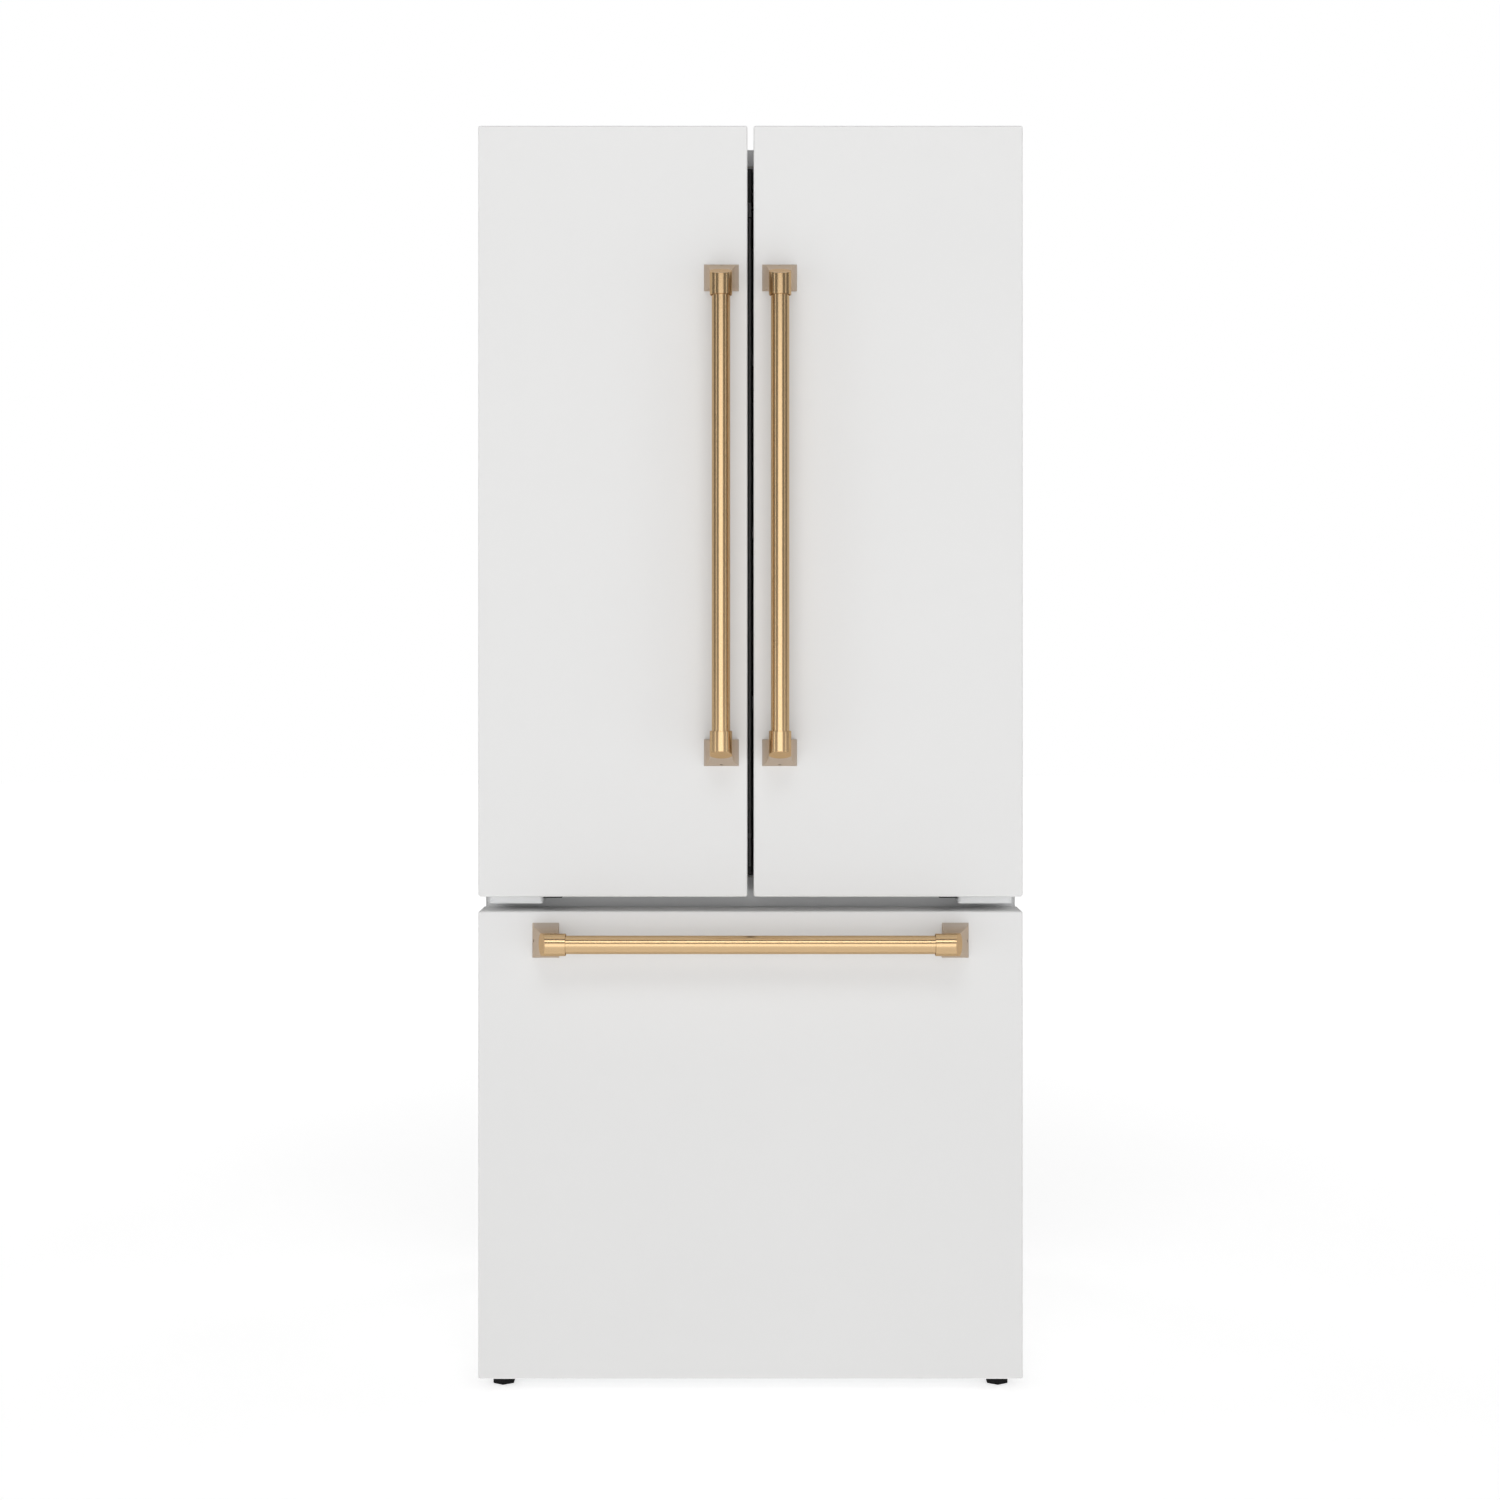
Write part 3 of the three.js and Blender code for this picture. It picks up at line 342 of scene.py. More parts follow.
def rod(name, axis, radius, low, length, sides, tip=None):
    """Cylinder, or a cone to the tip's radius, from the point low along an axis."""
    deselect()
    middle = Vector(low)
    middle["xyz".index(axis)] += length / 2
    bpy.ops.mesh.primitive_cone_add(
        vertices=sides,
        radius1=radius,
        radius2=radius if tip is None else tip,
        depth=length,
        location=middle,
        rotation=TURN_TO[axis],
    )
    return settled(bpy.context.object, name)


def pick(piece, kind, test):
    """Opens the piece in edit mode with what passes test(middle, direction) selected."""
    only(piece)
    bpy.ops.object.mode_set(mode="EDIT")
    bpy.ops.mesh.select_mode(type=kind)
    bpy.ops.mesh.select_all(action="DESELECT")
    bpy.ops.object.mode_set(mode="OBJECT")
    mesh = piece.data
    if kind == "FACE":
        for face in mesh.polygons:
            face.select = test(face.center, face.normal)
    elif kind == "EDGE":
        for edge in mesh.edges:
            a, b = (mesh.vertices[i].co for i in edge.vertices)
            edge.select = test((a + b) / 2, (b - a).normalized())
    else:
        for point in mesh.vertices:
            point.select = test(point.co, point.normal)
    bpy.ops.object.mode_set(mode="EDIT")


def pick_all(piece):
    only(piece)
    bpy.ops.object.mode_set(mode="EDIT")
    bpy.ops.mesh.select_mode(type="FACE")
    bpy.ops.mesh.select_all(action="SELECT")


def put_down():
    bpy.ops.object.mode_set(mode="OBJECT")


def worked(piece, kind, **settings):
    """Adds a modifier and applies it."""
    modifier = piece.modifiers.new(kind.lower(), kind)
    for key, value in settings.items():
        setattr(modifier, key, value)
    only(piece)
    bpy.ops.object.modifier_apply(modifier=modifier.name)
    return piece


def carved(piece, *tools, operation="DIFFERENCE"):
    for tool in tools:
        worked(piece, "BOOLEAN", object=tool, operation=operation, solver="EXACT")
        bpy.data.objects.remove(tool)
    return piece


def rounded(piece, width, steps, angle=35):
    """Rounds every edge sharper than the angle."""
    worked(
        piece, "BEVEL", width=width, segments=steps, limit_method="ANGLE", angle_limit=math.radians(angle),
        use_clamp_overlap=True,
    )
    return smoothed(piece)


def smoothed(piece, angle=35):
    """Smooth rounds beside flat faces that stay flat."""
    only(piece)
    bpy.ops.object.shade_smooth_by_angle(angle=math.radians(angle))
    return worked(piece, "WEIGHTED_NORMAL", weight=100, keep_sharp=True)


def beveled(piece, test, width, steps):
    """Rounds the edges that pass the test."""
    pick(piece, "EDGE", test)
    bpy.ops.mesh.bevel(offset=width, segments=steps, affect="EDGES")
    put_down()
    return piece


def like_node(node, name):
    """Merged copy of a CAD node, with its flat faces whole."""
    piece = bpy.data.objects.new(name, nodes[node].data.copy())
    piece.data.name = name
    scene.collection.objects.link(piece)
    piece.data.materials.clear()
    only(piece)
    bpy.ops.mesh.customdata_custom_splitnormals_clear()
    pick_all(piece)
    bpy.ops.mesh.remove_doubles(threshold=1e-5)
    bpy.ops.mesh.dissolve_limited(angle_limit=math.radians(0.5))
    put_down()
    return piece


def joined(first, *others):
    only(first)
    for other in others:
        other.select_set(True)
    bpy.ops.object.join()
    return first


def copied(piece, name, matrix):
    twin = bpy.data.objects.new(name, piece.data.copy())
    twin.data.name = name
    scene.collection.objects.link(twin)
    twin.data.transform(matrix)
    return twin


def fitted(piece, body, finish, *stands_for):
    """Hands a finished piece over to the body that it moves with."""
    piece.data.materials.clear()
    piece.data.materials.append(finish.material)
    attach(piece, body)
    if stands_for:
        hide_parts(*stands_for)
    return piece


def softened(node, finish, width, steps=2, angle=35):
    """A CAD node's shape with its edges rounded, in place of the node."""
    piece = rounded(like_node(node, node + "_finished"), width, steps, angle)
    return fitted(piece, nodes[node]["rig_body"], finish, node)


def discard(piece):
    bpy.data.objects.remove(piece)


def near(a, b, slack=1e-5):
    return abs(a - b) < slack


SIDES = {"left": -1, "right": 1}
PAST = 0.01  # how far a cutter runs past what it cuts
SEATED = 0.0001  # how far a laid-on piece stands off what it lies on

# ---------- Painted skins ----------

STEEL = 0.0015
FRONT_ROUND = 0.0024
DOOR_FOOT_ROUND = 0.0038
TOP_ROUND = 0.0028
PIN_HOLE = 0.0054
HINGE_X = 0.357825  # to each side of the middle
HINGE_SETBACK = 0.040  # behind the door's face
NOTCH_PAST_HINGE = 0.020  # toward the middle
NOTCH_SETBACK = 0.020  # behind the door's face
NOTCH_BELOW_CASE = 0.004


def skin(name, low, high, foot_round, notch=None):
    """Painted steel pan, open at the back, with its front edges rolled over."""
    piece = block(name, low, high)
    beveled(piece, lambda at, along: abs(along.y) > 0.9 and at.z < (low.z + high.z) / 2, foot_round, 5)
    beveled(piece, lambda at, along: abs(along.y) > 0.9 and near(at.z, high.z), TOP_ROUND, 5)
    if notch:
        carved(piece, notch)
    beveled(piece, lambda at, along: near(at.y, low.y) and abs(along.y) < 0.1, FRONT_ROUND, 5)
    pick(piece, "FACE", lambda at, normal: near(at.y, high.y) and normal.y > 0.9)
    bpy.ops.mesh.delete(type="FACE")
    put_down()
    worked(piece, "SOLIDIFY", thickness=STEEL, offset=-1)
    return piece


for side, s in SIDES.items():
    low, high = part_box(f"door_skin_{side}")
    hinge_x, hinge_y = s * HINGE_X, low.y + HINGE_SETBACK
    notch_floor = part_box("top_panel")[1].z - NOTCH_BELOW_CASE
    outer = low.x - PAST if s < 0 else high.x + PAST
    x0, x1 = sorted((outer, hinge_x - s * NOTCH_PAST_HINGE))
    notch = block("notch", (x0, low.y + NOTCH_SETBACK, notch_floor), (x1, high.y + PAST, high.z + PAST))
    piece = skin(f"door_steel_{side}", low, high, DOOR_FOOT_ROUND, notch)
    carved(
        piece,
        rod("hole", "z", PIN_HOLE, (hinge_x, hinge_y, low.z - PAST), 3 * PAST, 24),
        rod("hole", "z", PIN_HOLE, (hinge_x, hinge_y, notch_floor - 2 * PAST), 4 * PAST, 24),
    )
    fitted(smoothed(piece, 30), f"{side}_door", white_enamel, f"door_skin_{side}")

low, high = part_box("drawer_skin")
piece = skin("drawer_steel", low, high, TOP_ROUND)
fitted(smoothed(piece, 30), "freezer_drawer", white_enamel, "drawer_skin")

# ---------- Handles ----------

FERRULE_LENGTH = 0.0504
STANDOFF = 0.0497
FOOT_HALF = 0.02425
FOOT_LENGTH = 0.037
END_LEAN = 0.0230
BORE_DEPTH = 0.026
BORE_GAP = 0.0003  # about the bar
GROOVE = 0.0016  # about the bar, at the ferrule's end
SOCKET_RADIUS = 0.0021


def flare(t):
    """Half width and depth of the bracket's concave flank, from its foot to the bar."""
    waist, reach = FERRULE_RADIUS + 0.0005, 0.3 * STANDOFF
    half = FOOT_HALF * (1 - t) ** 2 + 2 * t * (1 - t) * waist + t * t * FERRULE_RADIUS
    return half, 2 * t * (1 - t) * reach + t * t * STANDOFF


def bracket_pattern():
    """Bracket whose bar runs up from its end at z = 0, on a face at y = 0."""
    piece = block("bracket", (-FOOT_HALF, -STANDOFF, 0), (FOOT_HALF, 0, FOOT_LENGTH))
    levels = [flare(i / 8) for i in range(1, 9)]
    for _, depth in levels[:-1]:
        pick_all(piece)
        bpy.ops.mesh.bisect(plane_co=(0, -depth, 0), plane_no=(0, 1, 0))
        put_down()
    for half, depth in levels:
        pick(piece, "VERT", lambda at, normal: near(at.y, -depth))
        bpy.ops.transform.resize(value=(half / FOOT_HALF, 1, 1), center_override=(0, -depth, 0))
        put_down()
    ferrule = rod("ferrule", "z", FERRULE_RADIUS, (0, -STANDOFF, 0), FERRULE_LENGTH, 72)
    carved(piece, ferrule, operation="UNION")
    reach = STANDOFF + FERRULE_RADIUS
    lean = Vector((0, END_LEAN, reach)).normalized()
    pick_all(piece)
    bpy.ops.mesh.bisect(plane_co=(0, 0, 0), plane_no=lean, use_fill=True, clear_inner=True)
    put_down()
    bore = rod("bore", "z", BAR_RADIUS + BORE_GAP, (0, -STANDOFF, FERRULE_LENGTH - BORE_DEPTH), 0.05, 72)
    groove = rod("groove", "z", BAR_RADIUS + GROOVE, (0, -STANDOFF, FERRULE_LENGTH - GROOVE), 0.02, 72)
    socket = rod("screw_hole", "z", SOCKET_RADIUS, (0, 0, -0.002), 0.006, 20)
    socket.data.transform(Matrix.Rotation(math.atan2(END_LEAN, reach), 4, "X").inverted())
    socket.data.transform(Matrix.Translation((0, -0.0062, 0.0018)))
    carved(piece, bore, groove, socket)
    return rounded(piece, 0.0006, 2, 32)


pattern = bracket_pattern()
UPSIDE_DOWN = Matrix.Rotation(math.pi, 4, "Y")
SIDEWAYS = Matrix.Rotation(math.pi / 2, 4, "Y")


def bar(name, node, axis):
    """Round bar with eased ends."""
    low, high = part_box(node)
    start = Vector(((low.x + high.x) / 2, (low.y + high.y) / 2, (low.z + high.z) / 2))
    start["xyz".index(axis)] = low["xyz".index(axis)]
    length = (high - low)["xyz".index(axis)]
    return rounded(rod(name, axis, BAR_RADIUS, start, length, 96), 0.0008, 2)


for side in SIDES:
    node = f"door_handle_{side}"
    fitted(bar(f"door_bar_{side}", node, "z"), f"{side}_door", upright_bronze, node)
    for end in ("lower", "upper"):
        low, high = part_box(f"{node}_bracket_{end}")
        middle = (low.x + high.x) / 2
        if end == "lower":
            place = Matrix.Translation((middle, high.y, low.z))
        else:
            place = Matrix.Translation((middle, high.y, high.z)) @ UPSIDE_DOWN
        piece = copied(pattern, f"door_bracket_{side}_{end}", place)
        fitted(piece, f"{side}_door", upright_bronze, f"{node}_bracket_{end}")

fitted(bar("drawer_bar", "drawer_handle", "x"), "freezer_drawer", level_bronze, "drawer_handle")
for side, s in SIDES.items():
    low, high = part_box(f"drawer_handle_bracket_{side}")
    end = low.x if s < 0 else high.x
    turn = SIDEWAYS if s < 0 else SIDEWAYS.inverted()
    place = Matrix.Translation((end, high.y, (low.z + high.z) / 2)) @ turn
    piece = copied(pattern, f"drawer_bracket_{side}", place)
    fitted(piece, "freezer_drawer", level_bronze, f"drawer_handle_bracket_{side}")
discard(pattern)

# ---------- Doors' inner panels, seals and bins ----------

BELLOWS_MARGIN = 0.0028
BELLOWS_DEPTH = 0.0022
TUB_WALL = 0.003
BIN_TRIM_INSET = 0.02

for node in ("door_liner_left", "door_liner_right", "drawer_liner"):
    softened(node, white_plastic, 0.003, 3)
for node in ("door_gasket_left", "door_gasket_right", "drawer_gasket"):
    piece = like_node(node, node + "_bellows")
    pick(piece, "FACE", lambda at, normal: abs(normal.y) < 0.1)
    bpy.ops.mesh.inset(thickness=BELLOWS_MARGIN, depth=-BELLOWS_DEPTH, use_individual=True)
    put_down()
    rounded(piece, 0.0011, 2)
    fitted(piece, nodes[node]["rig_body"], vinyl, node)


def tub(name, low, high, corner, floor_round):
    """Moulded tub, open at the top, with rounded corners and an eased rim."""
    piece = block(name, low, high)
    beveled(piece, lambda at, along: abs(along.z) > 0.9, corner, 6)
    beveled(piece, lambda at, along: near(at.z, low[2]) and abs(along.z) < 0.1, floor_round, 4)
    pick(piece, "FACE", lambda at, normal: normal.z > 0.9)
    bpy.ops.mesh.delete(type="FACE")
    put_down()
    worked(piece, "SOLIDIFY", thickness=TUB_WALL, offset=-1)
    return rounded(piece, 0.0009, 2, 40)


for side in SIDES:
    for level in ("lower", "upper"):
        node = f"door_bin_{side}_{level}"
        low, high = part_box(node)
        piece = tub(f"bin_{side}_{level}", low, high, 0.014, 0.006)
        fitted(piece, f"{side}_door", clear_plastic, node)
        strip = block(
            f"bin_trim_{side}_{level}",
            (low.x + BIN_TRIM_INSET, high.y - 0.0005 - TUB_WALL, high.z - 0.020),
            (high.x - BIN_TRIM_INSET, high.y + 0.0016, high.z - 0.004),
        )
        fitted(rounded(strip, 0.0015, 3), f"{side}_door", white_plastic)

# ---------- Folding mullion ----------

STRIP_RAISED = 0.0006
GUIDE_RAISED = 0.0012

low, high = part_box("flipper_mullion")
softened("flipper_mullion", black_plastic, 0.0012, 2)
# Painted sheen: this lighter grey strip down the black mullion's face stands for the soft reflection on its
# dark face.
strip = block(
    "mullion_painted_sheen",
    (-0.0022, low.y - STRIP_RAISED, low.z + 0.012),
    (0.0004, low.y + STRIP_RAISED, high.z - 0.070),
)
fitted(rounded(strip, 0.0003, 1), "mullion", grey_plastic)
for name, z, tall in (("upper", high.z - 0.068, 0.020), ("lower", low.z + 0.052, 0.007)):
    guide = block(
        f"mullion_guide_{name}",
        (-0.0030, low.y - GUIDE_RAISED, z),
        (0.0012, low.y + STRIP_RAISED, z + tall),
    )
    fitted(rounded(guide, 0.0004, 2), "mullion", grey_plastic)

# ---------- Hinges and their covers ----------

SCREW_RADIUS = 0.0042
SCREW_HEIGHT = 0.0022
SCREW_SIDES = 20
CAP_HEIGHT = 0.0092
PIN_RADIUS = 0.005
PIN_LIFT = 0.004  # above the foot of the centre hinge
WASHER_RADIUS = 0.0095
WASHER_THICKNESS = 0.0009
STOP_GAP = 0.0002
STOP_LENGTH = 0.026
STOP_DEPTH = 0.030


def screw_pattern():
    """Pan head screw with a crossed slot, standing up on z = 0."""
    head = rod("screw", "z", SCREW_RADIUS, (0, 0, 0), SCREW_HEIGHT, SCREW_SIDES, SCREW_RADIUS * 0.78)
    arm, half_width = SCREW_RADIUS * 0.6, SCREW_RADIUS * 0.14
    for x, y in ((arm, half_width), (half_width, arm)):
        carved(head, block("slot", (-x, -y, SCREW_HEIGHT * 0.45), (x, y, SCREW_HEIGHT * 2)))
    return rounded(head, SCREW_RADIUS * 0.12, 2)


screw = screw_pattern()


def screw_at(name, point, turn, body):
    piece = copied(screw, name, Matrix.Translation(point) @ turn)
    return fitted(piece, body, zinc)


UPRIGHT = Matrix.Identity(4)
BACKWARD = Matrix.Rotation(-math.pi / 2, 4, "X")

for side, s in SIDES.items():
    low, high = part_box(f"centre_hinge_{side}")
    cap_top = low.z + CAP_HEIGHT
    piece = block(f"hinge_cap_{side}", low, (high.x, high.y, cap_top))
    beveled(piece, lambda at, along: abs(along.y) > 0.9 and near(at.z, low.z), 0.0034, 5)
    beveled(piece, lambda at, along: abs(along.z) > 0.9 and near(at.y, low.y), 0.006, 5)
    rounded(piece, 0.0009, 3, 30)
    hinge_x, hinge_y = s * HINGE_X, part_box(f"door_skin_{side}")[0].y + HINGE_SETBACK
    pin_foot = (hinge_x, hinge_y, low.z + PIN_LIFT)
    pin = rod(f"hinge_pin_{side}", "z", PIN_RADIUS, pin_foot, high.z - low.z - PIN_LIFT, 32)
    rounded(pin, 0.0006, 2)
    fitted(piece, "cabinet", white_plastic, f"centre_hinge_{side}")
    fitted(pin, "cabinet", zinc)
    washer_foot = (hinge_x, hinge_y, cap_top + SEATED)
    washer = rod(f"hinge_washer_{side}", "z", WASHER_RADIUS, washer_foot, WASHER_THICKNESS, 32)
    fitted(rounded(washer, 0.0003, 1), "cabinet", grey_plastic)
    inner = high.x if s < 0 else low.x
    x0, x1 = sorted((inner - s * STOP_GAP, inner - s * (STOP_GAP + STOP_LENGTH)))
    stop = block(
        f"hinge_stop_{side}",
        (x0, low.y - 0.002, cap_top - 0.0012),
        (x1, low.y + STOP_DEPTH, cap_top + 0.0015),
    )
    fitted(rounded(stop, 0.0006, 2), "cabinet", black_rubber)

    softened(f"top_hinge_{side}", zinc, 0.0008)
    softened(f"hinge_cover_{side}", white_plastic, 0.0022, 3)
    low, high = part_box(f"hinge_cover_{side}")
    place = ((low.x + high.x) / 2, high.y - 0.022, high.z + SEATED)
    screw_at(f"hinge_cover_screw_{side}", place, UPRIGHT, "cabinet")

# ---------- Case ----------

for node in ("side_panel_left", "side_panel_right", "top_panel"):
    softened(node, white_enamel, 0.0006)
softened("front_frame", pale_enamel, 0.0005)
softened("toe_grille", grey_enamel, 0.0012)
softened("base_pan", zinc, 0.0006)
softened("rear_cover", grey_enamel, 0.0005)
nodes["cabinet_insulation"].data.materials.clear()
nodes["cabinet_insulation"].data.materials.append(foam.material)

# The back panel has two fields pressed in, one above the other, with a flat band between them.
FIELD_SIDE = 0.07  # in from the panel's sides
FIELD_END = 0.12  # in from its top and foot
BAND_HALF = 0.04
FIELD_SLOPE = 0.012
FIELD_DEPTH = 0.0009

low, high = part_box("back_panel")
middle = (low.z + high.z) / 2
panel = block("back_sheet", low, high)
for z in (low.z + FIELD_END, middle - BAND_HALF, middle + BAND_HALF, high.z - FIELD_END):
    pick_all(panel)
    bpy.ops.mesh.bisect(plane_co=(0, 0, z), plane_no=(0, 0, 1))
    put_down()
for x in (low.x + FIELD_SIDE, high.x - FIELD_SIDE):
    pick_all(panel)
    bpy.ops.mesh.bisect(plane_co=(x, 0, 0), plane_no=(1, 0, 0))
    put_down()
pick(panel, "FACE", lambda at, normal: normal.y > 0.9 and abs(at.x) < high.x - FIELD_SIDE
     and low.z + FIELD_END < at.z < high.z - FIELD_END and abs(at.z - middle) > BAND_HALF)
bpy.ops.mesh.inset(thickness=FIELD_SLOPE, depth=-FIELD_DEPTH, use_individual=True)
put_down()
fitted(rounded(panel, 0.0005, 2, 20), "cabinet", grey_enamel, "back_panel")



def screw_rows(node, prefix, count, side_margin, end_margin, rows):
    """Two level rows of screws on the back of a node, near its upper and its lower edge."""
    low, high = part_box(node)
    pitch = (high.x - low.x - 2 * side_margin) / (count - 1)
    for i in range(count):
        x = low.x + side_margin + i * pitch
        for row, z in zip(rows, (high.z - end_margin, low.z + end_margin)):
            screw_at(f"{prefix}_{row}_{i}", (x, high.y + SEATED, z), BACKWARD, "cabinet")


screw_rows("rear_cover", "rear_screw", 6, 0.02, 0.012, ("upper", "lower"))
screw_rows("back_panel", "back_screw", 4, 0.03, 0.02, ("top", "foot"))

# ---------- Compartments ----------

PANE_DROP = 0.003  # below the rim of the shelf
PANE_THICKNESS = 0.0045
SHELF_TRIMS = {"front": 0.016, "rear": 0.012}  # how deep each is
SHELF_TRIM_INSET = 0.009
SHELF_TRIM_DROP = 0.020
GRIP_INSET = 0.05
GRIP_DEPTH = 0.010
GRIP_HEIGHT = 0.034

softened("fresh_food_liner", white_plastic, 0.004, 3)
softened("freezer_liner", white_plastic, 0.003, 3)
softened("air_duct", white_plastic, 0.002, 2)

SHELVES = {
    "shelf_upper": "shelf_pane_upper",
    "shelf_lower": "shelf_pane_lower",
    "crisper_cover": "crisper_pane",
}
for node, pane_name in SHELVES.items():
    low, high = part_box(node)
    top = high.z - PANE_DROP
    pane = block(pane_name, (low.x, low.y + 0.006, top - PANE_THICKNESS), (high.x, high.y - 0.004, top))
    fitted(rounded(pane, 0.0008, 2), "cabinet", clear_glass, node)
    for name, deep in SHELF_TRIMS.items():
        if name == "front":
            front, rear = low.y, low.y + deep
            slot_front, slot_rear = front + 0.005, rear + PAST
        else:
            front, rear = high.y - deep, high.y
            slot_front, slot_rear = front - PAST, rear - 0.005
        trim = block(
            f"{pane_name}_trim_{name}",
            (low.x + SHELF_TRIM_INSET, front, top - SHELF_TRIM_DROP),
            (high.x - SHELF_TRIM_INSET, rear, high.z),
        )
        slot_floor = top - PANE_THICKNESS - SEATED
        carved(trim, block("slot", (low.x, slot_front, slot_floor), (high.x, slot_rear, top + SEATED)))
        fitted(rounded(trim, 0.0018, 3), "cabinet", white_plastic)

for side in SIDES:
    node = f"crisper_{side}"
    low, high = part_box(node)
    front = low.y + GRIP_DEPTH
    grip_foot = high.z - GRIP_HEIGHT
    body = nodes[node]["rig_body"]
    piece = tub(f"crisper_tub_{side}", (low.x, front, low.z), high, 0.012, 0.008)
    fitted(piece, body, clear_plastic, node)
    grip = block(
        f"crisper_grip_{side}",
        (low.x + GRIP_INSET, low.y, grip_foot),
        (high.x - GRIP_INSET, front + 0.001, high.z),
    )
    beveled(grip, lambda at, along: near(at.y, low.y) and near(at.z, grip_foot), 0.011, 1)
    fitted(rounded(grip, 0.002, 3), body, white_plastic)

BASKET_RIM = 0.008
SLOT_ROWS = 4
SLOT_COLUMNS = 9
FIRST_SLOT = 0.045  # above the basket's floor
ROW_PITCH = 0.052
SLOT_HEIGHT = 0.026
SLOT_MARGIN = 0.07
BRIDGE_HALF = 0.006  # half of what is left between two slots

low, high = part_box("freezer_basket")
piece = tub("basket_tub", (low.x + BASKET_RIM, low.y, low.z), high, 0.020, 0.010)
pitch = (high.x - low.x - 2 * SLOT_MARGIN) / SLOT_COLUMNS
for row in range(SLOT_ROWS):
    z = low.z + FIRST_SLOT + row * ROW_PITCH
    slots = []
    for i in range(SLOT_COLUMNS):
        x = low.x + SLOT_MARGIN + i * pitch
        x0, x1 = x + BRIDGE_HALF, x + pitch - BRIDGE_HALF
        slots.append(block("slot", (x0, low.y - PAST, z), (x1, low.y + 2 * PAST, z + SLOT_HEIGHT)))
    carved(piece, joined(*slots))
fitted(smoothed(piece), "freezer_drawer", white_plastic, "freezer_basket")
for name, s in SIDES.items():
    x0, x1 = sorted((s * high.x, s * (high.x - BASKET_RIM + 0.001)))
    lip = block(f"basket_rim_{name}", (x0, low.y + 0.004, high.z - 0.003), (x1, high.y - 0.004, high.z))
    fitted(rounded(lip, 0.0008, 2), "freezer_drawer", white_plastic)

softened("freezer_upper_tray", clear_plastic, 0.0012, 2)
for node in ("drawer_frame", "middle_rail_left", "middle_rail_right"):
    softened(node, zinc, 0.0009, 2)

# ---------- Lamp and controls in the fresh food compartment ----------

LINER_WALL = 0.002
CEILING_GAP = 0.0002
LAMP_HALF = 0.16
LAMP_DROP = 0.012
PANEL_HALF = 0.12
PANEL_DROP = 0.010
KEYS = 5
KEY_PITCH = 0.044
KEY_RADIUS = 0.0065
KEY_HEIGHT = 0.004

low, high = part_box("fresh_food_liner")
ceiling = high.z - LINER_WALL
lamp_foot = ceiling - LAMP_DROP
lamp = block(
    "ceiling_lamp", (-LAMP_HALF, low.y + 0.10, lamp_foot), (LAMP_HALF, low.y + 0.19, ceiling - CEILING_GAP)
)
beveled(lamp, lambda at, along: near(at.z, lamp_foot) and abs(along.z) < 0.1, 0.005, 4)
fitted(rounded(lamp, 0.0015, 2), "cabinet", lamp_lens)
panel = block(
    "control_panel",
    (-PANEL_HALF, low.y + 0.205, ceiling - PANEL_DROP),
    (PANEL_HALF, low.y + 0.245, ceiling - CEILING_GAP),
)
pick(panel, "FACE", lambda at, normal: normal.z < -0.9)
bpy.ops.mesh.inset(thickness=0.005, depth=-0.0015)
put_down()
fitted(rounded(panel, 0.001, 2), "cabinet", grey_plastic)
for i in range(KEYS):
    key_foot = ((i - (KEYS - 1) / 2) * KEY_PITCH, low.y + 0.225, ceiling - PANEL_DROP - 0.0003)
    key = rod(f"control_key_{i}", "z", KEY_RADIUS, key_foot, KEY_HEIGHT, 32)
    fitted(rounded(key, 0.0009, 2), "cabinet", white_plastic)

# ---------- Machinery, feet and rollers ----------

softened("compressor", black_enamel, 0.003, 3, 50)
softened("condenser", black_enamel, 0.0004, 1)
softened("evaporator", aluminium, 0.0004, 1)
softened("condenser_fan", black_plastic, 0.0005, 1)
softened("evaporator_fan", white_plastic, 0.0005, 1)
for side in SIDES:
    softened(f"rear_roller_{side}", black_rubber, 0.0008, 2)
    softened(f"front_foot_{side}", black_rubber, 0.001, 2)

discard(screw)

# ---------- Room ----------

ROOM_LIGHT = 0.24
FLOOR_RADIUS = 16

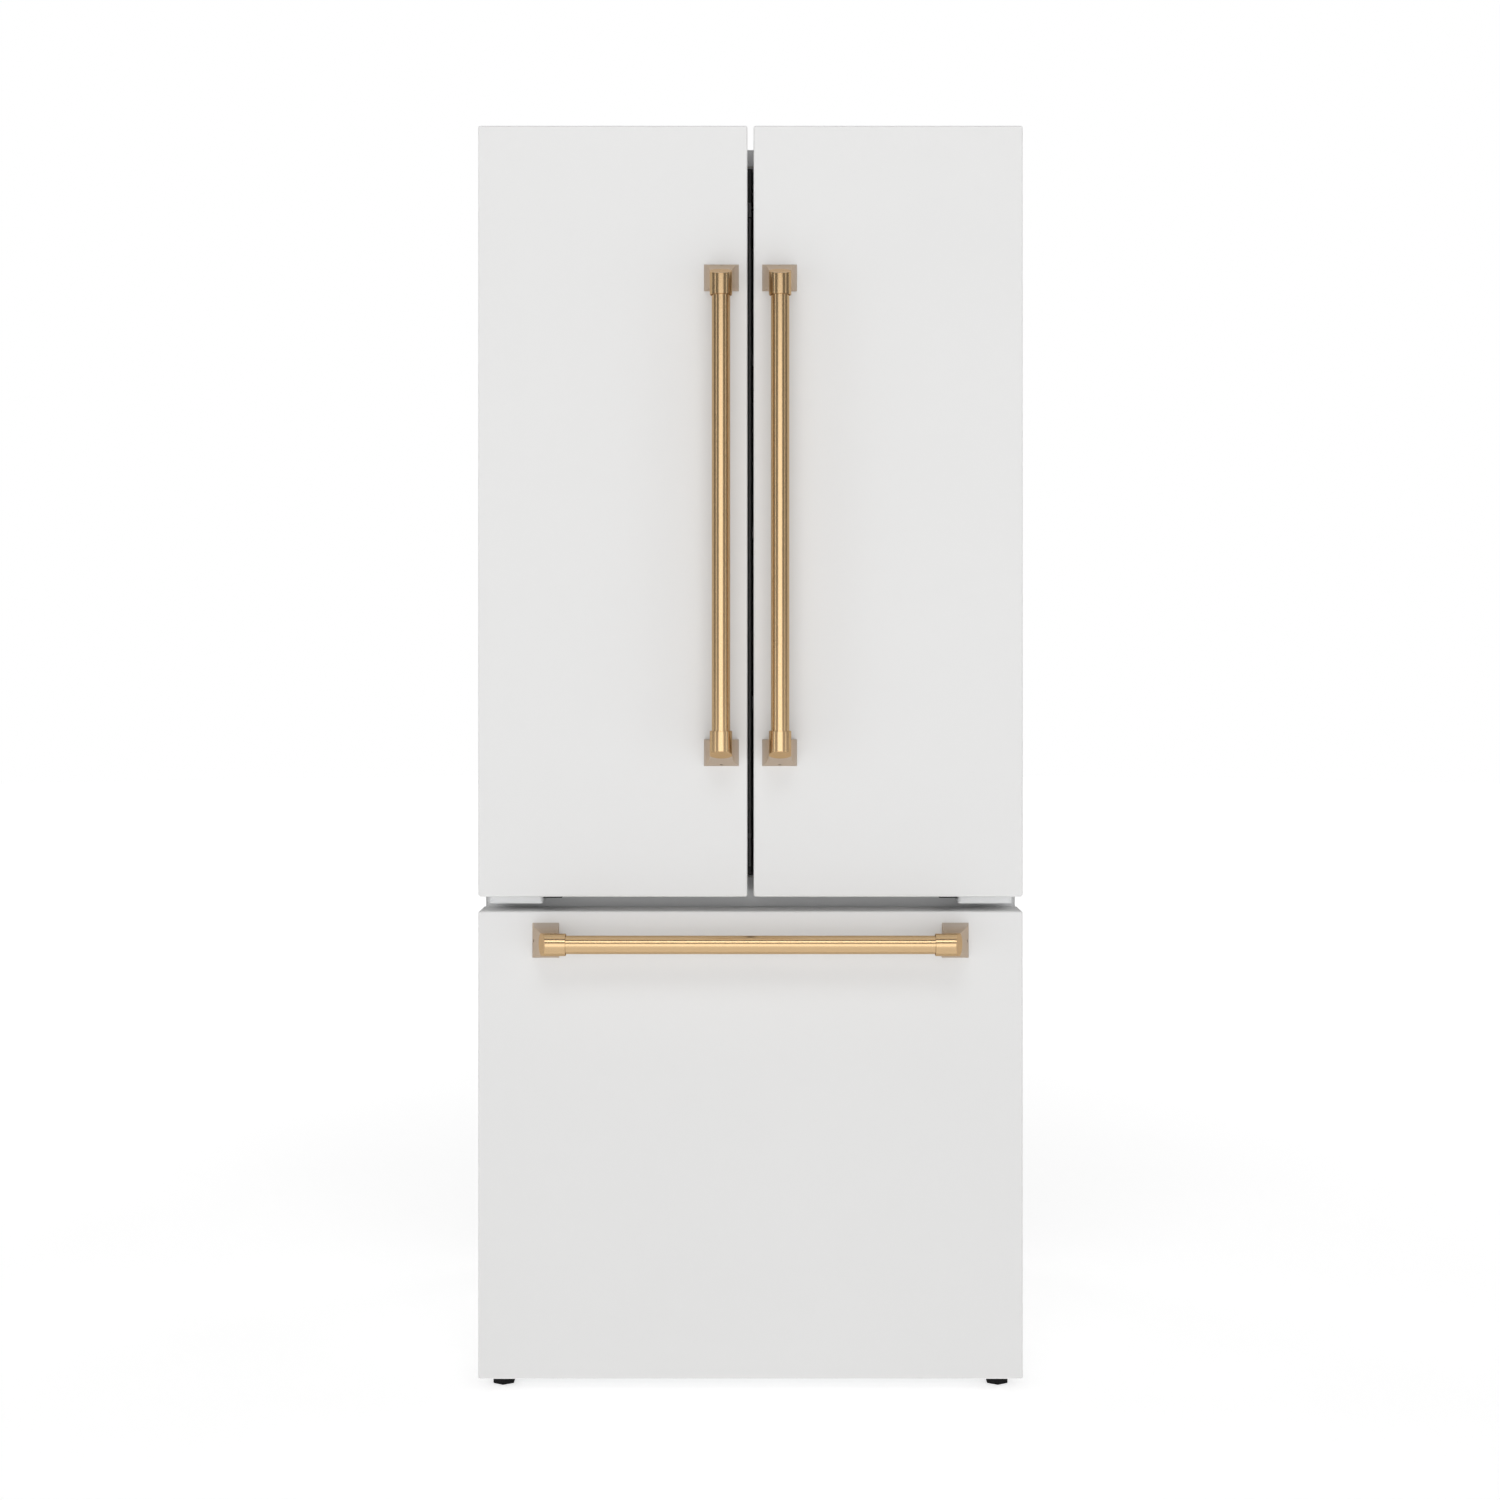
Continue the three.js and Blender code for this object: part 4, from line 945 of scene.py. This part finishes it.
world = bpy.data.worlds.new("studio")
scene.world = world
world.use_nodes = True
tree = world.node_tree
backdrop = tree.nodes["Background"]
seen = tree.nodes.new("ShaderNodeBackground")
for shade, strength in ((backdrop, ROOM_LIGHT), (seen, 1.0)):
    shade.inputs["Color"].default_value = (1, 1, 1, 1)
    shade.inputs["Strength"].default_value = strength
ray = tree.nodes.new("ShaderNodeLightPath")
mixed = tree.nodes.new("ShaderNodeMixShader")
tree.links.new(ray.outputs["Is Camera Ray"], mixed.inputs["Fac"])
tree.links.new(backdrop.outputs[0], mixed.inputs[1])
tree.links.new(seen.outputs[0], mixed.inputs[2])
tree.links.new(mixed.outputs[0], tree.nodes["World Output"].inputs["Surface"])

deselect()
bpy.ops.mesh.primitive_circle_add(vertices=96, radius=FLOOR_RADIUS, fill_type="NGON", location=(0, 0, 0))
floor = settled(bpy.context.object, "floor")
pale = Finish("pale_floor", "", Roughness=0.7, Emission_Strength=1.0)
speck = pale.noise(2.0, 2)
pale.feed("Base Color", pale.between(speck, (0.66, 0.66, 0.66), (0.70, 0.70, 0.70)))
# The floor glows more with the distance from the refrigerator, so that it meets the white room.
along, across = pale.coordinate("X"), pale.coordinate("Y")
away = (along * along + across * across) * 0.06 - 0.1
pale.feed("Emission Color", pale.between(away, (0.62, 0.62, 0.62), (0.88, 0.88, 0.88)))
floor.data.materials.append(pale.material)


def softbox(name, place, target, width, height, power):
    light = bpy.data.lights.new(name, "AREA")
    light.shape, light.size, light.size_y, light.energy = "RECTANGLE", width, height, power
    holder = bpy.data.objects.new(name, light)
    scene.collection.objects.link(holder)
    holder.location = place
    holder.rotation_euler = (Vector(target) - Vector(place)).to_track_quat("-Z", "Y").to_euler()


MIDDLE = (0, 0, 0.9)
softbox("front_wall", (0, -5.4, 1.3), MIDDLE, 4.8, 2.4, 58)
softbox("front_high", (0, -3.9, 4.2), MIDDLE, 2.4, 1.2, 30)
softbox("left_strip", (-4.4, -2.9, 1.5), MIDDLE, 0.7, 3.0, 9)
softbox("right_strip", (4.4, -2.9, 1.5), MIDDLE, 0.7, 3.0, 7)
softbox("overhead", (0, -0.2, 4.4), (0, 0, 0), 4.0, 3.0, 26)
softbox("rear_left", (-3.0, 3.0, 2.4), MIDDLE, 1.6, 2.2, 20)
softbox("rear_right", (3.0, 3.0, 2.4), MIDDLE, 1.6, 2.2, 20)

scene.view_settings.view_transform = "Standard"
scene.view_settings.look = "None"
